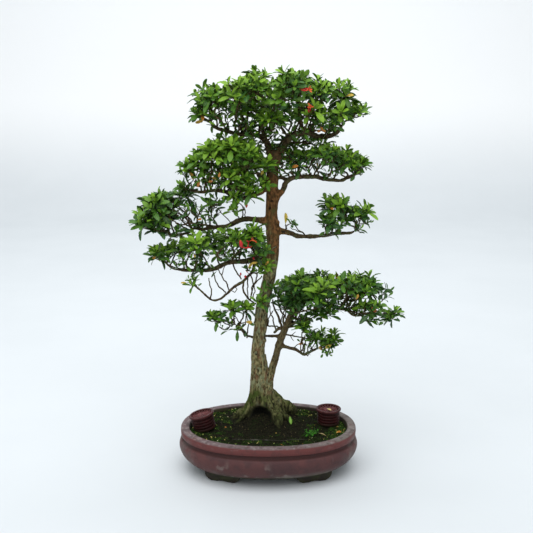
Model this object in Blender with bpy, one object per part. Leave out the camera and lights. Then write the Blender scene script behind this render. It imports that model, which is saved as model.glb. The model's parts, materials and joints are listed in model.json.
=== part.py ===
"""Azalea bonsai, informal upright with a low second trunk, in an oval footed pot.

Metres, +Z up, the front faces -Y. The origin is on the table under the middle of the pot.
Tables are in millimetres and are scaled by MM where they are used.
"""
import math
import random

import bmesh
import bpy
from mathutils import Matrix, Vector
from mathutils.bvhtree import BVHTree

MM = 0.001
GAP = 0.4
SEED = 7

POT_HALF_LENGTH = 144.0
POT_HALF_DEPTH = 102.5
OVAL_POWER = 2.2
OVAL_SIDES = 28
RIM_HEIGHT = 70.0
POT_FLOOR = 16.0
POT_OUTSIDE = [(9, 30), (12, 22), (22, 9), (34, 1.5), (42, 0), (50, 2.5), (51.5, 7), (57, 7), (58.5, 3), (68.5, 3)]
POT_INSIDE = [(RIM_HEIGHT, 4.5), (RIM_HEIGHT, 15.5), (68.5, 17), (45, 17), (30, 18.5), (20, 30), (POT_FLOOR, 42)]
DRAIN_HOLE_X = 58.0
DRAIN_HOLE_RADIUS = 9.0
FOOT_DEPTH = 17.0
FOOT_X = 70.0
FOOT_Y = 56.0
FOOT_TURN = 16.0
FOOT_OUTLINE = [(-30, 13), (-28, 6), (-19, 0), (-8, 0), (-4, 1.5), (4, 1.5), (8, 0), (19, 0), (28, 6), (30, 13)]

SOIL_EDGE = 62.5
SOIL_BOTTOM = 18.0
SOIL_MOUND = 22.0
MOUND_X, MOUND_Y = -6.0, 28.0
MOUND_WIDE, MOUND_DEEP = 55.0, 42.0
SOIL_RINGS = (0.8, 0.52, 0.28)

BASKET_RADIUS = 18.0
BASKET_HEIGHT = 26.0
BASKET_FLANGE = 20.5
BASKET_WALL = 1.5
BASKET_SIDES = 12
PRONG_LENGTH = 12.0
SLOT = 2.8
BASKETS = {"left": ((-102.5, -5, 65.0), -13.0), "right": ((98.5, 17, 65.0), 0.0)}

CORE = Vector((0.72, 0.72, 0.58))
CORE_SEGMENTS = 6
CORE_RINGS = 4
LEAF_LENGTH = 19.0
LEAF_WIDTH = 8.0
LEAF_THICK = 2.2
LEAF_ROOT = 5.0
LEAF_AREA = 350.0
LEAF_ROOM = 0.93
LINK_RADIUS = 6.0
LINK_ABOVE = 0.85
LONG_TWIG = 34.0

# Each row is x, y, z and radius down the middle of the wood.
TRUNK = [(-6, 28, 58, 16), (-6, 28, 84, 28), (-10, 26, 104, 22), (-13, 23, 124, 16.2), (-14, 21, 146, 13),
         (-16, 20, 170, 11.5), (-16.5, 19, 191, 10.7), (-13, 18, 225, 10.7), (-10, 17.5, 257, 10.7), (-4, 16, 285, 10.3),
         (0, 14, 305, 10), (4, 13, 330, 10.2), (7, 12, 365, 10.6), (6, 12.5, 396, 10), (6.7, 13, 432, 10),
         (6, 14, 456, 9.3), (7, 14, 486, 8.5), (11, 14, 506, 7)]
SECOND_TRUNK = [(-2, 22, 92, 9.5), (-1, 20, 120, 8.5), (3, 16, 152, 7.6), (12, 9, 181, 7), (17, 5, 202, 6.6),
                (23, 3, 220, 6.4), (31, 2, 240, 6.2), (40, 3, 259, 5.8), (48, 4, 271, 5)]
# Each root runs from the flare to a tip below the soil: x and y of its knee, x and y of its tip, and its thickness.
ROOTS = [(-34, 22, -62, 28, 8), (-24, 12, -43, 12, 4.5), (8, 10, 19, -9, 9), (24, 22, 50, 16, 5.5),
         (24, 40, 50, 46, 11), (-28, 46, -46, 62, 7), (-4, 54, -2, 72, 7)]
# Between the two front roots the flare is hollowed to an arch.
ARCH = (-11, -1, 81)
ARCH_REACH = (12, 15, 13)

# Each limb has its thickness at both ends and the points it runs through.
LIMBS = {
    "crown_left": (5.0, 2.2, [(9, 14, 497), (1, 12, 516), (-10, 6, 527), (-23, 2, 532), (-40, 0, 536), (-61, -2, 540),
                              (-77, -3, 544), (-89, -4, 556)]),
    "crown_right": (5.4, 2.2, [(10, 14, 497), (22, 12, 518), (34, 8, 530), (48, 4, 538), (61, 2, 539), (76, 2, 533),
                               (89, 4, 529), (102, 6, 533), (112, 8, 547)]),
    "upper_right": (4.4, 2.0, [(7, 12, 436), (22, 10, 448), (25, 6, 463), (37, 2, 470), (69, 0, 470), (93, 2, 465),
                               (111, 2, 465), (122, 2, 470), (141, 2, 477)]),
    "upper_left": (4.4, 2.0, [(4, 11, 464), (-10, 4, 450), (-25, 0, 443), (-44, -4, 438), (-62, -6, 440),
                              (-81, -8, 447), (-101, -8, 448), (-118, -6, 456)]),
    "middle_left": (4.6, 1.8, [(3, 12, 399), (-16, 8, 403), (-30, 4, 405), (-47, 0, 402), (-62, -2, 396), (-78, -4, 394),
                               (-98, -4, 391), (-116, -4, 391), (-124, -4, 385), (-153, -6, 380)]),
    "middle_right": (4.2, 2.0, [(9, 12, 387), (30, 8, 383), (43, 5, 379), (60, 3, 378), (77, 2, 379), (108, 2, 383),
                                (125, 2, 383), (133, 3, 386)]),
    "low_left": (4.4, 1.8, [(4, 12, 350), (-13, 4, 350), (-27, -2, 348), (-43, -4, 340), (-63, -4, 339), (-75, -4, 332),
                            (-86, -4, 325), (-103, -4, 325), (-125, -2, 325), (-146, 0, 329), (-158, 0, 339)]),
    "hanging": (2.4, 1.4, [(2, 12, 336), (-22, -2, 332), (-30, -10, 322), (-39, -14, 312), (-52, -16, 302),
                           (-63, -18, 294), (-70, -20, 287), (-83, -22, 282), (-93, -24, 288), (-105, -25, 301)]),
    "lowest_left": (3.0, 1.8, [(19, 5, 208), (2, 34, 204), (-14, 37, 205), (-26, 20, 212), (-36, 4, 220), (-42, -2, 229),
                               (-51, -6, 238)]),
    "lowest_right": (2.8, 1.8, [(17, 6, 201), (30, 2, 199), (41, 0, 196), (50, -2, 192), (58, -3, 189), (69, -3, 194),
                                (79, -3, 199)]),
    "big_right": (5.0, 2.0, [(42, 3, 262), (50, 4, 273), (61, 2, 280), (78, 0, 275), (97, 0, 269), (113, 0, 264),
                             (124, 0, 261), (135, 0, 253), (148, 0, 254), (166, 2, 257)]),
    "back_upper": (3.6, 2.0, [(6, 14, 452), (-2, 34, 458), (-12, 50, 466), (-20, 62, 474)]),
    "back_low": (3.6, 2.0, [(5, 13, 338), (-6, 32, 340), (-18, 48, 342), (-26, 58, 346)]),
}

# Each lobe of leaves has its centre and its reach along x, y and z; a pad is one body with its own limbs.
PADS = {
    "crown_leaves": (["crown_left", "crown_right"], [
        (-87, -5, 581, 38, 38, 33), (-37, -38, 595, 34, 34, 29), (-29, 45, 601, 38, 36, 29), (28, -45, 604, 38, 34, 28),
        (42, 42, 607, 40, 36, 27), (79, -12, 595, 31, 38, 29), (121, 8, 582, 34, 36, 34), (-18, 5, 571, 56, 46, 22),
        (61, -22, 563, 38, 30, 20), (3, -32, 556, 28, 24, 18)]),
    "upper_left_leaves": (["upper_left"], [
        (-114, -5, 492, 23, 30, 26), (-82, -30, 506, 30, 30, 28), (-72, 38, 509, 34, 34, 25), (-38, -38, 506, 29, 28, 28),
        (-35, 32, 512, 31, 28, 22), (-50, -32, 472, 33, 26, 20), (-8, -30, 489, 15, 14, 18)]),
    "back_upper_leaves": (["back_upper"], [(-22, 69, 482, 29, 26, 19)]),
    "upper_right_leaves": (["upper_right"], [
        (49, 25, 494, 28, 30, 20), (85, -15, 502, 30, 32, 24), (122, 12, 498, 28, 34, 26), (144, -2, 492, 17, 24, 18),
        (105, 45, 493, 25, 28, 19)]),
    "middle_left_leaves": (["middle_left"], [
        (-184, -8, 416, 30, 30, 29), (-157, 22, 423, 28, 32, 27), (-173, -18, 397, 27, 28, 20), (-127, 5, 440, 20, 24, 15),
        (-143, 30, 400, 22, 24, 20)]),
    "middle_left_spray": (["middle_left"], [(-92, -12, 429, 15, 14, 12)]),
    "inner_left_spray": (["middle_left"], [(-48, -10, 424, 12, 11, 10)]),
    "middle_right_leaves": (["middle_right"], [
        (96, 18, 422, 23, 26, 23), (83, -14, 408, 18, 22, 18), (120, -5, 417, 21, 26, 20), (148, 8, 412, 19, 22, 19)]),
    "inner_right_spray": (["middle_right"], [(37, -12, 404, 11, 10, 9)]),
    "low_left_leaves": (["low_left"], [
        (-171, -5, 356, 23, 26, 19), (-143, 22, 351, 22, 26, 19), (-111, -22, 364, 24, 28, 21), (-86, 25, 364, 25, 28, 22),
        (-49, -28, 373, 27, 26, 22), (-24, -32, 383, 21, 18, 18)]),
    "back_low_leaves": (["back_low"], [(-30, 67, 354, 30, 27, 20)]),
    "hanging_spray": (["hanging"], [(-110, -25, 306, 14, 12, 12)]),
    "trunk_spray_upper": (["hanging"], [(-2, -24, 322, 12, 10, 14)]),
    "trunk_spray_lower": (["trunk"], [(-12, -18, 288, 13, 9, 14)]),
    "lowest_left_leaves": (["lowest_left"], [
        (-80, -15, 247, 20, 20, 17), (-57, -5, 267, 22, 22, 16), (-36, 2, 262, 16, 18, 14)]),
    "lowest_right_leaves": (["lowest_right"], [(54, -12, 225, 19, 20, 14), (82, 8, 213, 22, 24, 17),
                                               (107, -5, 220, 14, 16, 14)]),
    "big_right_leaves": (["big_right"], [
        (27, 35, 284, 24, 28, 25), (49, -10, 299, 26, 32, 26), (79, -38, 288, 27, 28, 28), (86, 32, 291, 32, 32, 26),
        (118, -25, 304, 28, 30, 23), (135, 32, 288, 29, 28, 25), (163, 0, 285, 27, 36, 26), (157, -22, 267, 23, 22, 16),
        (194, 5, 256, 17, 16, 13), (191, 20, 283, 14, 16, 14)]),
}
BLOOMS = {"bloom_crown_upper": ((54, -78, 602), (30, -46, 604)), "bloom_crown_lower": ((60, -56, 577), (62, -26, 562)),
          "bloom_left": ((-33, -56, 377), (-30, -32, 380))}
WIRE = [(-56, -47), (-40, -50), (-24, -51), (-8, -52), (8, -52), (24, -52), (42, -51), (60, -48)]
WIRE_RADIUS = 0.6
FALLEN = {"fallen_leaf_green": (36, 4, 25), "fallen_leaf_tan": (80, -31, 160), "fallen_leaf_orange": (112, -24, 70)}
WEED_X, WEED_Y = 68.0, -38.0

COLOURS = {"pot": (0.42, 0.2, 0.19), "wood": (0.36, 0.3, 0.2), "soil": (0.09, 0.09, 0.05), "leaves": (0.22, 0.42, 0.12),
           "basket": (0.26, 0.08, 0.08), "fertiliser": (0.25, 0.18, 0.11), "bloom": (0.85, 0.2, 0.12),
           "mesh": (0.1, 0.1, 0.1), "wire": (0.6, 0.58, 0.5), "yellow": (0.75, 0.65, 0.15), "tan": (0.6, 0.45, 0.25),
           "orange": (0.75, 0.35, 0.1)}

for old in list(bpy.data.objects):
    bpy.data.objects.remove(old, do_unlink=True)
random.seed(SEED)


def make(name, points, faces):
    """A mesh object from points in millimetres, its faces turned outwards."""
    mesh = bpy.data.meshes.new(name)
    mesh.from_pydata([Vector(p) * MM for p in points], [], faces)
    work = bmesh.new()
    work.from_mesh(mesh)
    bmesh.ops.recalc_face_normals(work, faces=work.faces)
    work.to_mesh(mesh)
    work.free()
    obj = bpy.data.objects.new(name, mesh)
    bpy.context.scene.collection.objects.link(obj)
    return obj


def skin(rings):
    """Points and faces of a closed skin over rings of equal length, capped at both ends."""
    count = len(rings[0])
    points = [p for ring in rings for p in ring]
    faces = []
    for i in range(len(rings) - 1):
        for j in range(count):
            k = (j + 1) % count
            faces.append((i * count + j, i * count + k, (i + 1) * count + k, (i + 1) * count + j))
    faces.append(tuple(reversed(range(count))))
    faces.append(tuple((len(rings) - 1) * count + j for j in range(count)))
    return points, faces


def tube(name, path, sides, grow=0.0):
    """A round stem through rows of x, y, z and radius, thicker and longer by grow."""
    centres = [Vector(row[:3]) for row in path]
    centres[0] = centres[0] + (centres[0] - centres[1]).normalized() * grow
    centres[-1] = centres[-1] + (centres[-1] - centres[-2]).normalized() * grow
    side = None
    rings = []
    for i, centre in enumerate(centres):
        before, after = centres[max(i - 1, 0)], centres[min(i + 1, len(centres) - 1)]
        along = (after - before).normalized()
        if side is None:
            side = along.orthogonal().normalized()
        side = (side - along * side.dot(along)).normalized()
        other = along.cross(side)
        radius = path[i][3] + grow
        turns = [2 * math.pi * j / sides for j in range(sides)]
        rings.append([centre + (side * math.cos(t) + other * math.sin(t)) * radius for t in turns])
    return make(name, *skin(rings))


def evaluated(obj):
    """Applies the object's modifiers."""
    graph = bpy.context.evaluated_depsgraph_get()
    mesh = bpy.data.meshes.new_from_object(obj.evaluated_get(graph))
    obj.modifiers.clear()
    obj.data = mesh


def combine(target, others, operation):
    """One exact Boolean of the target with all the others, which are then removed."""
    group = bpy.data.collections.new("others")
    bpy.context.scene.collection.children.link(group)
    for other in others:
        bpy.context.scene.collection.objects.unlink(other)
        group.objects.link(other)
        other.hide_render = True
        other.display_type = "WIRE"
    modifier = target.modifiers.new("combine", "BOOLEAN")
    modifier.operation = operation
    modifier.operand_type = "COLLECTION"
    modifier.collection = group
    modifier.solver = "EXACT"
    evaluated(target)
    for other in others:
        bpy.data.objects.remove(other, do_unlink=True)
    bpy.data.collections.remove(group)
    return target


def copied(obj, name):
    """A separate copy of the object with its own mesh."""
    twin = bpy.data.objects.new(name, obj.data.copy())
    bpy.context.scene.collection.objects.link(twin)
    return twin


def body_parts(work):
    """The faces of each connected body in the mesh."""
    left = set(work.faces)
    while left:
        start = left.pop()
        found, edge = {start}, [start]
        while edge:
            face = edge.pop()
            for line in face.edges:
                for near in line.link_faces:
                    if near in left:
                        left.remove(near)
                        found.add(near)
                        edge.append(near)
        yield found


def size_of(faces):
    """Six times the signed volume inside the faces."""
    total = 0.0
    for face in faces:
        corners = [v.co for v in face.verts]
        for i in range(1, len(corners) - 1):
            total += corners[0].dot(corners[i].cross(corners[i + 1]))
    return total


def tidy(obj):
    """Merges doubles, drops loose scraps and inner skins, and leaves triangles."""
    work = bmesh.new()
    work.from_mesh(obj.data)
    bmesh.ops.remove_doubles(work, verts=work.verts, dist=0.00004)
    bmesh.ops.dissolve_degenerate(work, edges=work.edges, dist=0.00002)
    bmesh.ops.dissolve_limit(work, angle_limit=math.radians(0.6), verts=work.verts, edges=work.edges)
    bmesh.ops.triangulate(work, faces=work.faces)
    bodies = sorted(body_parts(work), key=size_of)
    scraps = [face for body in bodies[:-1] for face in body]
    bmesh.ops.delete(work, geom=scraps, context="FACES")
    bmesh.ops.recalc_face_normals(work, faces=work.faces)
    work.to_mesh(obj.data)
    work.free()
    return obj


def painted(obj, colour, roughness=0.6):
    """Gives the object its own material."""
    material = bpy.data.materials.new(obj.name + "_finish")
    material.use_nodes = True
    shader = material.node_tree.nodes["Principled BSDF"]
    shader.inputs["Base Color"].default_value = (*COLOURS[colour], 1)
    shader.inputs["Roughness"].default_value = roughness
    obj.data.materials.clear()
    obj.data.materials.append(material)
    return obj


def oval(inset, z, share=1.0):
    """One ring of the pot's plan, drawn in by inset and then scaled by share."""
    ring = []
    for j in range(OVAL_SIDES):
        turn = 2 * math.pi * j / OVAL_SIDES
        c, s = math.cos(turn), math.sin(turn)
        x = math.copysign(abs(c) ** (2 / OVAL_POWER), c) * (POT_HALF_LENGTH - inset) * share
        y = math.copysign(abs(s) ** (2 / OVAL_POWER), s) * (POT_HALF_DEPTH - inset) * share
        ring.append((x, y, z(x, y) if callable(z) else z))
    return ring


def soil_height(x, y):
    """The mound that the trunk stands on."""
    away = ((x - MOUND_X) / MOUND_WIDE) ** 2 + ((y - MOUND_Y) / MOUND_DEEP) ** 2
    return SOIL_EDGE + SOIL_MOUND * math.exp(-away)


def box(name, low, high):
    """A box between two corners."""
    ring = [(low[0], low[1]), (high[0], low[1]), (high[0], high[1]), (low[0], high[1])]
    return make(name, *skin([[(x, y, z) for x, y in ring] for z in (low[2], high[2])]))


def ball(name, centre, reach, segments=CORE_SEGMENTS, rings=CORE_RINGS):
    """A coarse ellipsoid with a point at top and bottom."""
    points = [(centre[0], centre[1], centre[2] - reach[2])]
    for i in range(1, rings):
        lift = -math.cos(math.pi * i / rings)
        out = math.sin(math.pi * i / rings)
        for j in range(segments):
            turn = 2 * math.pi * (j + 0.5 * (i % 2)) / segments
            points.append((centre[0] + reach[0] * out * math.cos(turn), centre[1] + reach[1] * out * math.sin(turn),
                           centre[2] + reach[2] * lift))
    points.append((centre[0], centre[1], centre[2] + reach[2]))
    last = len(points) - 1
    faces = []
    for j in range(segments):
        k = (j + 1) % segments
        faces.append((0, 1 + k, 1 + j))
        top = 1 + (rings - 2) * segments
        faces.append((last, top + j, top + k))
        for i in range(rings - 2):
            low, high = 1 + i * segments, 1 + (i + 1) * segments
            shift = i % 2
            if shift:
                faces.append((low + j, low + k, high + j))
                faces.append((low + k, high + k, high + j))
            else:
                faces.append((low + j, high + k, high + j))
                faces.append((low + j, low + k, high + k))
    return make(name, points, faces)


def blade(name, base, tip, across, width=LEAF_WIDTH, thick=LEAF_THICK):
    """A leaf: an obovate outline, flat across the wide part, with a keel under it from base to tip."""
    base, tip = Vector(base), Vector(tip)
    along = (tip - base).normalized()
    across = (across - along * across.dot(along)).normalized()
    wide = base.lerp(tip, 0.62) + along.cross(across) * thick
    points = [base, tip, wide + across * width / 2, wide - across * width / 2]
    faces = [(0, 1, 2), (0, 3, 1), (2, 1, 3), (0, 2, 3)]
    return make(name, points, faces)


# The pot is one fired piece: a bulging oval bowl with a groove under its rim band, and four bracket feet.
rings = [oval(inset, z) for z, inset in POT_OUTSIDE + POT_INSIDE]
pot = make("pot", *skin(rings))
feet = []
for side_x in (-1, 1):
    for side_y in (-1, 1):
        front = [(x, -FOOT_DEPTH / 2, z) for x, z in FOOT_OUTLINE]
        back = [(x, FOOT_DEPTH / 2, z) for x, z in FOOT_OUTLINE]
        foot = make("foot", *skin([front, back]))
        turned = Matrix.Rotation(math.radians(-FOOT_TURN * side_x * side_y), 4, "Z")
        placed = Matrix.Translation(Vector((FOOT_X * side_x, FOOT_Y * side_y, 0)) * MM)
        foot.data.transform(placed @ turned)
        feet.append(foot)
combine(pot, feet, "UNION")
drains = []
for side_x in (-1, 1):
    where = DRAIN_HOLE_X * side_x
    drains.append(tube("drain", [(where, 0, 0, DRAIN_HOLE_RADIUS), (where, 0, POT_FLOOR + 6, DRAIN_HOLE_RADIUS)], 12))
combine(pot, drains, "DIFFERENCE")
painted(tidy(pot), "pot", 0.7)

# A slotted plastic disc covers each drain hole under the soil.
for side, where in (("left", -DRAIN_HOLE_X), ("right", DRAIN_HOLE_X)):
    low, high = POT_FLOOR + 0.35, SOIL_BOTTOM - 0.35
    disc = tube("drain_mesh_" + side, [(where, 0, low, 13), (where, 0, high, 13)], 12)
    slots = [box("slot", (where - 8, y - 1.2, low - 1), (where + 8, y + 1.2, high + 1)) for y in (-4, 4)]
    combine(disc, slots, "DIFFERENCE")
    painted(tidy(disc), "mesh")


def limb_rows(name):
    """A limb's points with the radius falling from its base to its tip."""
    start, end, points = LIMBS[name]
    last = len(points) - 1
    return [(*p, start + (end - start) * i / last) for i, p in enumerate(points)]


def nearest_on(names, goal):
    """The place on the named limbs that a twig to the goal starts from."""
    best = None
    for name in names:
        rows = TRUNK if name == "trunk" else limb_rows(name)
        for a, b in zip(rows[:-1], rows[1:]):
            for step in (0.0, 0.5):
                place = Vector(a[:3]).lerp(Vector(b[:3]), step)
                far = (place - goal).length + 0.5 * max(place.z - goal.z + 8, 0)
                if best is None or far < best[0]:
                    best = (far, place, a[3])
    return best[1], best[2]


twigs = []
for names, lobes in PADS.values():
    for lobe in lobes[::2]:
        goal = Vector(lobe[:3])
        start, thick = nearest_on(names, goal)
        bend = start.lerp(goal, 0.45) + Vector((random.uniform(-3, 3), random.uniform(-3, 3), random.uniform(-4, 2)))
        radius = min(1.9, thick * 0.8)
        rows = [(*start, radius), (*bend, radius * 0.85), (*goal, radius * 0.7)]
        twigs.append(rows if (goal - start).length > LONG_TWIG else [rows[0], rows[2]])


def wood_pieces(grow):
    """Every stem of the tree, thicker by grow, as separate closed tubes."""
    pieces = [tube("wood", TRUNK, 9, grow), tube("second_trunk", SECOND_TRUNK, 8, grow)]
    for knee_x, knee_y, tip_x, tip_y, radius in ROOTS:
        knee_z, tip_z = soil_height(knee_x, knee_y) + 2, soil_height(tip_x, tip_y) - 8
        rows = [(-9, 26, 120, radius), (knee_x * 0.6 - 3, knee_y * 0.6 + 10, 99, radius), (knee_x, knee_y, knee_z, radius),
                (tip_x, tip_y, tip_z, radius * 0.4)]
        pieces.append(tube("root", rows, 6, grow))
    for name in LIMBS:
        pieces.append(tube(name, limb_rows(name), 5, grow))
    for rows in twigs:
        pieces.append(tube("twig", rows, 4, grow))
    return pieces


# The wood is one living body: both trunks, the roots, the limbs and the twigs that hold the leaves.
pieces = wood_pieces(0.0)
wood = combine(pieces[0], pieces[1:], "UNION")
combine(wood, [ball("arch", ARCH, ARCH_REACH, 8, 6)], "DIFFERENCE")
painted(tidy(wood), "wood", 0.85)
pieces = wood_pieces(GAP)
wood_room = combine(pieces[0], pieces[1:], "UNION")
combine(wood_room, [ball("arch", ARCH, [r - 2 * GAP for r in ARCH_REACH], 8, 6)], "DIFFERENCE")


# The baskets stand on the soil by three prongs; slots let water through the lid and the wall.
def basket_pieces(side):
    """The basket, its contents and the room it takes in the soil, built upright at the origin."""
    r, top = BASKET_RADIUS, BASKET_HEIGHT
    profile = [(0, r), (top - 2.5, r + 0.4), (top - 2.3, BASKET_FLANGE), (top, BASKET_FLANGE)]
    outside = []
    for z, radius in profile:
        turns = [2 * math.pi * j / BASKET_SIDES for j in range(BASKET_SIDES)]
        outside.append([(radius * math.cos(t), radius * math.sin(t), z) for t in turns])
    basket = make("basket_" + side, *skin(outside))
    inner = r - BASKET_WALL
    hollow = tube("hollow", [(0, 0, BASKET_WALL, inner), (0, 0, top - BASKET_WALL, inner)], BASKET_SIDES)
    cuts = [hollow]
    for k in range(3):
        for sign in (-1, 1):
            slot = box("slot", (5.5 * sign, -SLOT / 2, top - 4), (14.5 * sign, SLOT / 2, top + 2))
            slot.data.transform(Matrix.Rotation(math.pi * (k + 0.25) / 3, 4, "Z"))
            cuts.append(slot)
    for z in (8.0, 15.5):
        for k in range(3):
            window = box("window", (-r - 4, -4.2, z), (r + 4, 4.2, z + SLOT))
            window.data.transform(Matrix.Rotation(math.pi * (k + 0.25) / 3, 4, "Z"))
            cuts.append(window)
    combine(basket, cuts, "DIFFERENCE")
    prongs, room = [], [tube("room", [(0, 0, 0, r), (0, 0, top - 4, r + 0.4)], BASKET_SIDES, 3 * GAP)]
    for k in range(3):
        turn = 2 * math.pi * (k + 0.4) / 3
        x, y = (r - 3) * math.cos(turn), (r - 3) * math.sin(turn)
        rows = [(x, y, 1, 1.6), (x, y, -PRONG_LENGTH, 0.9)]
        prongs.append(tube("prong", rows, 4))
        room.append(tube("prong_room", rows, 4, GAP + 0.1))
    combine(basket, prongs, "UNION")
    lumps = []
    for k in range(3):
        turn = 2 * math.pi * (k + random.uniform(0, 0.3)) / 3
        x, y = 6.2 * math.cos(turn), 6.2 * math.sin(turn)
        lumps.append(ball("fertiliser_" + side, (x, y, 9 + 2.4 * (k % 2)), (8.2, 8.2, 6.6), 6, 4))
    lumps.append(ball("lump", (0, 0, 16), (8.4, 8.0, 7.0), 6, 4))
    filling = combine(lumps[0], lumps[1:], "UNION")
    return basket, filling, room


soil_room = []
baskets = {}
for side, (place, tilt) in BASKETS.items():
    basket, filling, room = basket_pieces(side)
    move = Matrix.Translation(Vector(place) * MM) @ Matrix.Rotation(math.radians(tilt), 4, "Y")
    for piece in [basket, filling] + room:
        piece.data.transform(move)
    painted(tidy(basket), "basket", 0.45)
    painted(tidy(filling), "fertiliser", 0.9)
    soil_room += room
    baskets[side] = basket

# The weed is a small tuft of narrow blades on one stem.
weed_z = soil_height(WEED_X, WEED_Y)
weed_stem = [(WEED_X, WEED_Y, weed_z - 7, 1.0), (WEED_X, WEED_Y, weed_z + 5, 0.9)]
weed = tube("weed", weed_stem, 5)
soil_room.append(tube("weed_room", weed_stem, 5, GAP))
weed_blades = []
for k in range(6):
    turn = 2 * math.pi * k / 6 + 0.3
    out = Vector((math.cos(turn), math.sin(turn), 0.75)).normalized()
    start = Vector((WEED_X, WEED_Y, weed_z + 3))
    weed_blades.append(blade("weed_blade", start - out * 0.5, start + out * (11 + 2 * (k % 2)),
                             Vector((-out.y, out.x, 0)), 3.4, 1.2))
combine(weed, weed_blades, "UNION")
painted(tidy(weed), "leaves")

# The soil fills the pot to just under the rim and rises to the roots; stems and prongs stand in plain holes.
pot_gap = GAP + 0.1
rings = [oval(42 + pot_gap, SOIL_BOTTOM), oval(30 + pot_gap, SOIL_BOTTOM + 3), oval(18.5 + pot_gap, 30),
         oval(17 + pot_gap, SOIL_EDGE)]
rings += [oval(17 + pot_gap, soil_height, share) for share in SOIL_RINGS]
soil = make("soil", *skin(rings))
combine(soil, [copied(wood_room, "roots")] + soil_room, "DIFFERENCE")
painted(tidy(soil), "soil", 0.95)


def seat(obj, ground, gap=0.35):
    """Lowers the object until its nearest point is the gap above the ground."""
    tree = BVHTree.FromObject(ground, bpy.context.evaluated_depsgraph_get())
    least = None
    for face in obj.data.polygons:
        corners = [obj.data.vertices[i].co for i in face.vertices]
        for i in range(7):
            for j in range(7 - i):
                a, b = i / 6, j / 6
                spot = corners[0] * a + corners[1] * b + corners[2] * (1 - a - b)
                hit = tree.ray_cast(spot + Vector((0, 0, 50 * MM)), Vector((0, 0, -1)))
                if hit[0] is not None:
                    room = spot.z - hit[0].z
                    least = room if least is None else min(least, room)
    obj.data.transform(Matrix.Translation((0, 0, gap * MM - least)))
    return obj


# A thin tie wire lies across the front of the soil.
tree = BVHTree.FromObject(soil, bpy.context.evaluated_depsgraph_get())
rows = []
for x, y in WIRE:
    hit = tree.ray_cast(Vector((x, y, 200)) * MM, Vector((0, 0, -1)))
    rows.append((x, y, hit[0].z / MM + 1.2, WIRE_RADIUS))
wire = tube("tie_wire", rows, 5)
seat(tidy(wire), soil)
painted(wire, "wire", 0.4)

# Fallen leaves lie on the soil, and a yellow one on the right basket.
for name, (x, y, turn) in FALLEN.items():
    z = soil_height(x, y) + 4
    along = Vector((math.cos(math.radians(turn)), math.sin(math.radians(turn)), 0))
    middle = Vector((x, y, z))
    leaf = blade(name, middle - along * 7, middle + along * 7, Vector((-along.y, along.x, 0)), 6, 1.4)
    seat(tidy(leaf), soil)
    painted(leaf, {"green": "leaves"}.get(name.split("_")[-1], name.split("_")[-1]))
place = Vector(BASKETS["right"][0]) + Vector((3, -3, BASKET_HEIGHT + 4))
leaf = blade("fallen_leaf_yellow", place + Vector((-7, -3, 0)), place + Vector((7, 3, 0)), Vector((-3, 7, 0)), 6.5, 1.4)
seat(tidy(leaf), baskets["right"])
painted(leaf, "yellow")

# The blooms are small five-petalled tufts, each on a stalk that runs back into the leaves.
bloom_rooms = []
for name, (face, root) in BLOOMS.items():
    face, root = Vector(face), Vector(root)
    outwards = (face - root).normalized()
    side_a = outwards.orthogonal().normalized()
    side_b = outwards.cross(side_a)
    stalk_path = [(*(face - outwards * 20), 1.0), (*face, 1.1)]
    bloom = tube(name, stalk_path, 5)
    bloom_rooms.append(tube("bloom_room", [(*(face - outwards * 20), 1.0), (*(face + outwards * 3), 1.1)], 5, GAP))
    bloom_rooms.append(ball("bloom_room", face + outwards * 3, (7.5, 7.5, 7.5), 8, 6))
    petals = [ball("middle", face + outwards * 0.6, (2.4, 2.3, 2.5), 5, 3)]
    for k in range(5):
        turn = 2 * math.pi * (k + random.uniform(-0.1, 0.1)) / 5
        spread = side_a * math.cos(turn) + side_b * math.sin(turn)
        lead = (outwards + spread * 1.2).normalized()
        across = side_b * math.cos(turn) - side_a * math.sin(turn)
        petals.append(blade("petal", face + lead * 0.4, face + lead * 7, across, 3.4, 1.3))
    combine(bloom, petals, "UNION")
    painted(tidy(bloom), "bloom", 0.5)


def share_of(lobe, point):
    """How far out of a lobe a point lies: 1 on its envelope."""
    return math.sqrt(sum(((point[i] - lobe[i]) / lobe[i + 3]) ** 2 for i in range(3)))


def spread_of(one, two):
    """The distance between two lobes as a share of what their cores reach towards each other."""
    between = Vector(two[:3]) - Vector(one[:3])
    way = between.normalized()
    total = 0.0
    for lobe in (one, two):
        total += 1 / math.sqrt(sum((way[i] / (lobe[i + 3] * CORE[i])) ** 2 for i in range(3)))
    return between.length / total


def lobe_blades(pad, lobe, core):
    """Leaves evenly over one lobe, each rooted in a face of its core, clear of the other pads."""
    reach = Vector(lobe[3:])
    count = max(5, round((reach.x * reach.y + reach.y * reach.z + reach.z * reach.x) / LEAF_AREA))
    others = [other for name, (_, lobes) in PADS.items() if name != pad for other in lobes]
    family = [other for other in PADS[pad][1] if other != lobe]
    places = [(face.center / MM, face.normal.copy()) for face in core.data.polygons]
    grown = []
    spin = random.uniform(0, 2 * math.pi)
    for k in range(min(count, len(places))):
        lift = 1 - (2 * k + 1) / count
        turn = spin + k * 2.4
        flat = math.sqrt(max(0.0, 1 - lift * lift))
        way = Vector((flat * math.cos(turn), flat * math.sin(turn), lift))
        place, normal = max(places, key=lambda pair: pair[1].dot(way))
        places.remove((place, normal))
        if any(share_of(other, place) < LEAF_ROOM * CORE.x for other in family):
            continue
        lead = (normal + Vector((0, 0, 0.3)) + Vector([random.uniform(-0.2, 0.2) for _ in range(3)])).normalized()
        base = place - lead * LEAF_ROOT
        tip = base + lead * LEAF_LENGTH * random.uniform(0.9, 1.1)
        if any(share_of(other, tip) < 1.05 * share_of(lobe, tip) + 0.05 for other in others):
            continue
        across = lead.cross(Vector((random.uniform(-1, 1), random.uniform(-1, 1), random.uniform(0.8, 1.8))))
        grown.append(blade("blade", base, tip, across))
    return grown


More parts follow.
